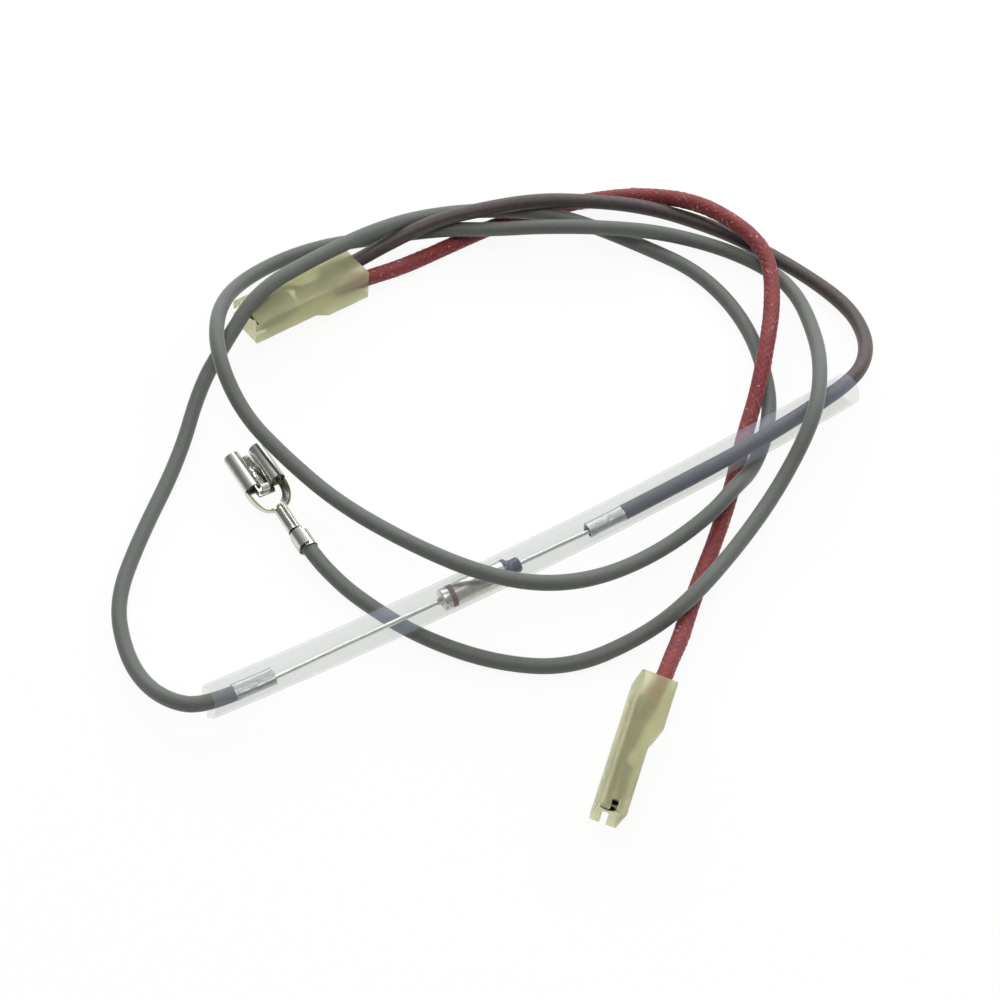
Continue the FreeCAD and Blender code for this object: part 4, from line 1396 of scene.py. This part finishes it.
@dataclass(frozen=True)
class WhiteTable:
    """A plain white table top: matte, seen as pure white but for the soft shadows on it."""

    name: str = "white_table_top"
    shade_share: float = 0.08

    def surface(self, tree: Tree) -> Node:
        """Return white light to the eye, glossy and transmitted rays, and plain matte to others.

        Args:
            tree: the material's emptied node tree.

        Returns:
            The last shader.
        """
        rays = add_node(tree, "LightPath")
        seen = rays.outputs["Is Camera Ray"]
        for kind in ("Is Glossy Ray", "Is Transmission Ray"):
            seen = add_node(tree, "Math", {0: seen, 1: rays.outputs[kind]}, operation="MAXIMUM")
        share = add_node(tree, "Math", {0: seen, 1: 1.0 - self.shade_share}, operation="MULTIPLY")
        matte = add_node(tree, "BsdfPrincipled", {"Base Color": srgb("#F4F4F3"), "Roughness": 0.9})
        white = add_node(tree, "Emission", {"Color": srgb("#FFFFFF"), "Strength": 1.0})
        return add_node(tree, "MixShader", {0: share, 1: matte, 2: white})


@dataclass
class Studio:
    """A pale table, soft lamps and the camera."""

    eye: Spot = (-127.14, -213.65, 373.07)
    target: Spot = (-0.478, 3.785, 0.0)
    lens: float = 93.96
    table: float = 3000.0
    dark_side: Spot = (-0.80, -0.48, 0.36)
    falls_from: float = -0.6
    falls_to: float = 0.55
    bright: float = 0.95
    dim: float = 0.20

    def floor(self) -> None:
        """Lay the table: white to the eye, in reflections and through clear pieces, softly shadowed."""
        corners = self.table / 2.0 * np.array([(-1, -1, 0), (1, -1, 0), (1, 1, 0), (-1, 1, 0)])
        Draft().add(corners, [[0, 1, 2, 3]]).build("table", [WhiteTable()])

    def aim(self, item: Item, place: Vector, target: Vector) -> None:
        """Put a lamp or the camera at its place, turned to a target.

        Args:
            item: the lamp or the camera.
            place: where it goes, in metres.
            target: what it looks at, in metres.
        """
        item.location = place
        item.rotation_euler = (target - place).to_track_quat("-Z", "Y").to_euler()
        bpy.context.scene.collection.objects.link(item)

    def lamp(self, name: str, place: Spot, size: float, watts: float, colour: str) -> None:
        """Hang one square soft lamp that faces the middle of the table.

        Args:
            name: its name.
            place: where it hangs, in metres.
            size: its side, in metres.
            watts: its power.
            colour: its hex code.
        """
        light = bpy.data.lights.new(name, "AREA")
        light.size = size
        light.energy = watts
        light.color = srgb(colour)[:3]
        self.aim(bpy.data.objects.new(name, light), Vector(place), Vector())

    def world(self) -> None:
        """Fill the room with light that is pale at the back and falls off towards its dark side.

        The strength falls in a straight line with the cosine of the angle to the dark side, so that
        bright metal shows the bands a tabletop tent gives it.
        """
        world = bpy.data.worlds.new("room")
        world.use_nodes = True
        tree = world.node_tree
        tree.nodes.clear()
        way = add_node(tree, "TexCoord").outputs["Generated"]
        towards = add_node(tree, "VectorMath", {0: way, 1: self.dark_side}, operation="DOT_PRODUCT")
        level = add_node(tree, "MapRange", {
            "Value": towards.outputs["Value"], "From Min": self.falls_from,
            "From Max": self.falls_to, "To Min": self.bright, "To Max": self.dim})
        seen = add_node(tree, "LightPath").outputs["Is Camera Ray"]
        shown = add_node(tree, "Math", {0: level, 1: seen}, operation="MAXIMUM")
        room = add_node(tree, "Background", {"Color": srgb("#FFFFFF"), "Strength": shown})
        add_node(tree, "OutputWorld", {"Surface": room})
        bpy.context.scene.world = world

    def camera(self) -> None:
        """Place the camera at the eye, looking at the target."""
        data = bpy.data.cameras.new("camera")
        data.lens = self.lens
        data.clip_start = 0.01
        item = bpy.data.objects.new("camera", data)
        self.aim(item, Vector(self.eye) * MM, Vector(self.target) * MM)
        bpy.context.scene.camera = item

    def build(self) -> None:
        """Set up the whole studio."""
        self.floor()
        self.lamp("top_lamp", (-0.12, -0.1, 1.1), 0.5, 4.5, "#FFFAF2")
        self.lamp("back_lamp", (0.25, 0.85, 0.6), 0.8, 5.0, "#FFFFFF")
        self.lamp("right_lamp", (0.32, 0.14, 0.26), 0.24, 0.55, "#FFFFFF")
        self.world()
        self.camera()
        bpy.context.scene.view_settings.view_transform = "Standard"


# ---- all of it

PAIR_AT = Place((1.4, 58.2, 6.344), 187.0, -7.7, 3.6)
SINGLE_AT = Place((-1.1, -41.35, 7.439), 221.9, 6.5, 75.9)
BARE_AT = Place((-34.4, 10.25, 0.25), 91.8, -3.0, 10.0)
# Both splices: stations along the sleeve, drop below its axis, and half the spread of their lobes.
LEFT_SPLICE_AT = -54.95
RIGHT_SPLICE_AT = 10.85
SPLICE_DROP = 0.6
LOBE = 0.6


def build_sleeved_end() -> None:
    """Build the sleeve, the cut-off and both splices with their conductors."""
    sleeve = Sleeve()
    sleeve.build()
    grey_at = sleeve.at(LEFT_SPLICE_AT, SPLICE_DROP)
    brown_at = sleeve.at(RIGHT_SPLICE_AT, SPLICE_DROP)
    Cutoff(sleeve).build(grey_at.put((-3.1, -LOBE, 0.0)), brown_at.put((3.1, -LOBE, 0.0)))
    Splice("left_splice", "grey_splice", grey_at, lop=0.16).build()
    Splice("right_splice", "brown_splice", brown_at, radius=1.1, spread=0.6, waist=0.0).build()
    line = joined(3.7 * np.linspace(-1.0, 1.0, 30) + 0.15, LOBE, 0.0)
    Strands("left_splice_strands", "grey_splice_core", [line], 0.52, grey_at, TINNED_WIRE).build()
    Strands("right_splice_strands", "brown_splice_core", [line * (-1.0, 1.0, 1.0)], 0.52, brown_at,
            COPPER).build()


def build_receptacles() -> tuple[Item, Item, Item]:
    """Build the three receptacles with their conductors, and both housings.

    Returns:
        The bare receptacle, the single lead's housing and the receptacle in it.
    """
    bare = Receptacle("tab_receptacle", "bare_receptacle", BARE_AT)
    bare_item = bare.build()
    bare.strands("bare_strands", "bare_core", GREY_ROUTE[-1:], 0.68, wire=0.14)
    single = Housing("single_nylon_housing", "single_housing", SINGLE_AT)
    single_item = single.build()
    held = HousedReceptacle("single_tab_receptacle", "single_receptacle", single.seat())
    held_item = held.build()
    held.strands("single_strands", "single_core", RED_ROUTE[-1:], 0.63)
    pair = Housing("pair_nylon_housing", "pair_housing", PAIR_AT)
    pair.build()
    both = HousedReceptacle("pair_tab_receptacle", "pair_receptacle", pair.seat(), grip_bore=None)
    both.build()
    both.strands("pair_strands", "pair_cores", (BROWN_ROUTE[-1], RED_ROUTE[0]), 0.48, 0.5, 14)
    return bare_item, single_item, held_item


def build_leads(bare: Item, single: Item, held: Item) -> None:
    """Build the three leads, each with what is on its far end.

    Args:
        bare: the bare receptacle, at the grey lead's end.
        single: the housing at the red lead's end.
        held: the receptacle in it.
    """
    grey = Lead("grey_lead", GREY_ROUTE, 2.7, 652.0, "grey_insulation", GREY_SILICONE)
    grey.build(FarEnd.CONNECTOR, [bare])
    BraidedLead("brown_lead", BROWN_ROUTE, 2.7, 176.0, "brown_insulation", BROWN_LACQUER, step=0.2,
                sides=48, yarns=12, lay=9.0, crown=0.03).build(FarEnd.OBJECT)
    red = BraidedLead("red_lead", RED_ROUTE, 2.9, 191.0, "red_braid", RED_BRAID, step=0.16, sides=64)
    hairs = red.hairs("red_hairs", RED_HAIRS, 240, 7)
    red.build(FarEnd.CONNECTOR, [single, held, hairs])


def main() -> None:
    """Build every piece, in order."""
    logging.basicConfig(level=logging.INFO)
    dress_carried()
    build_sleeved_end()
    build_leads(*build_receptacles())
    Studio().build()


if __name__ == "__main__":
    main()
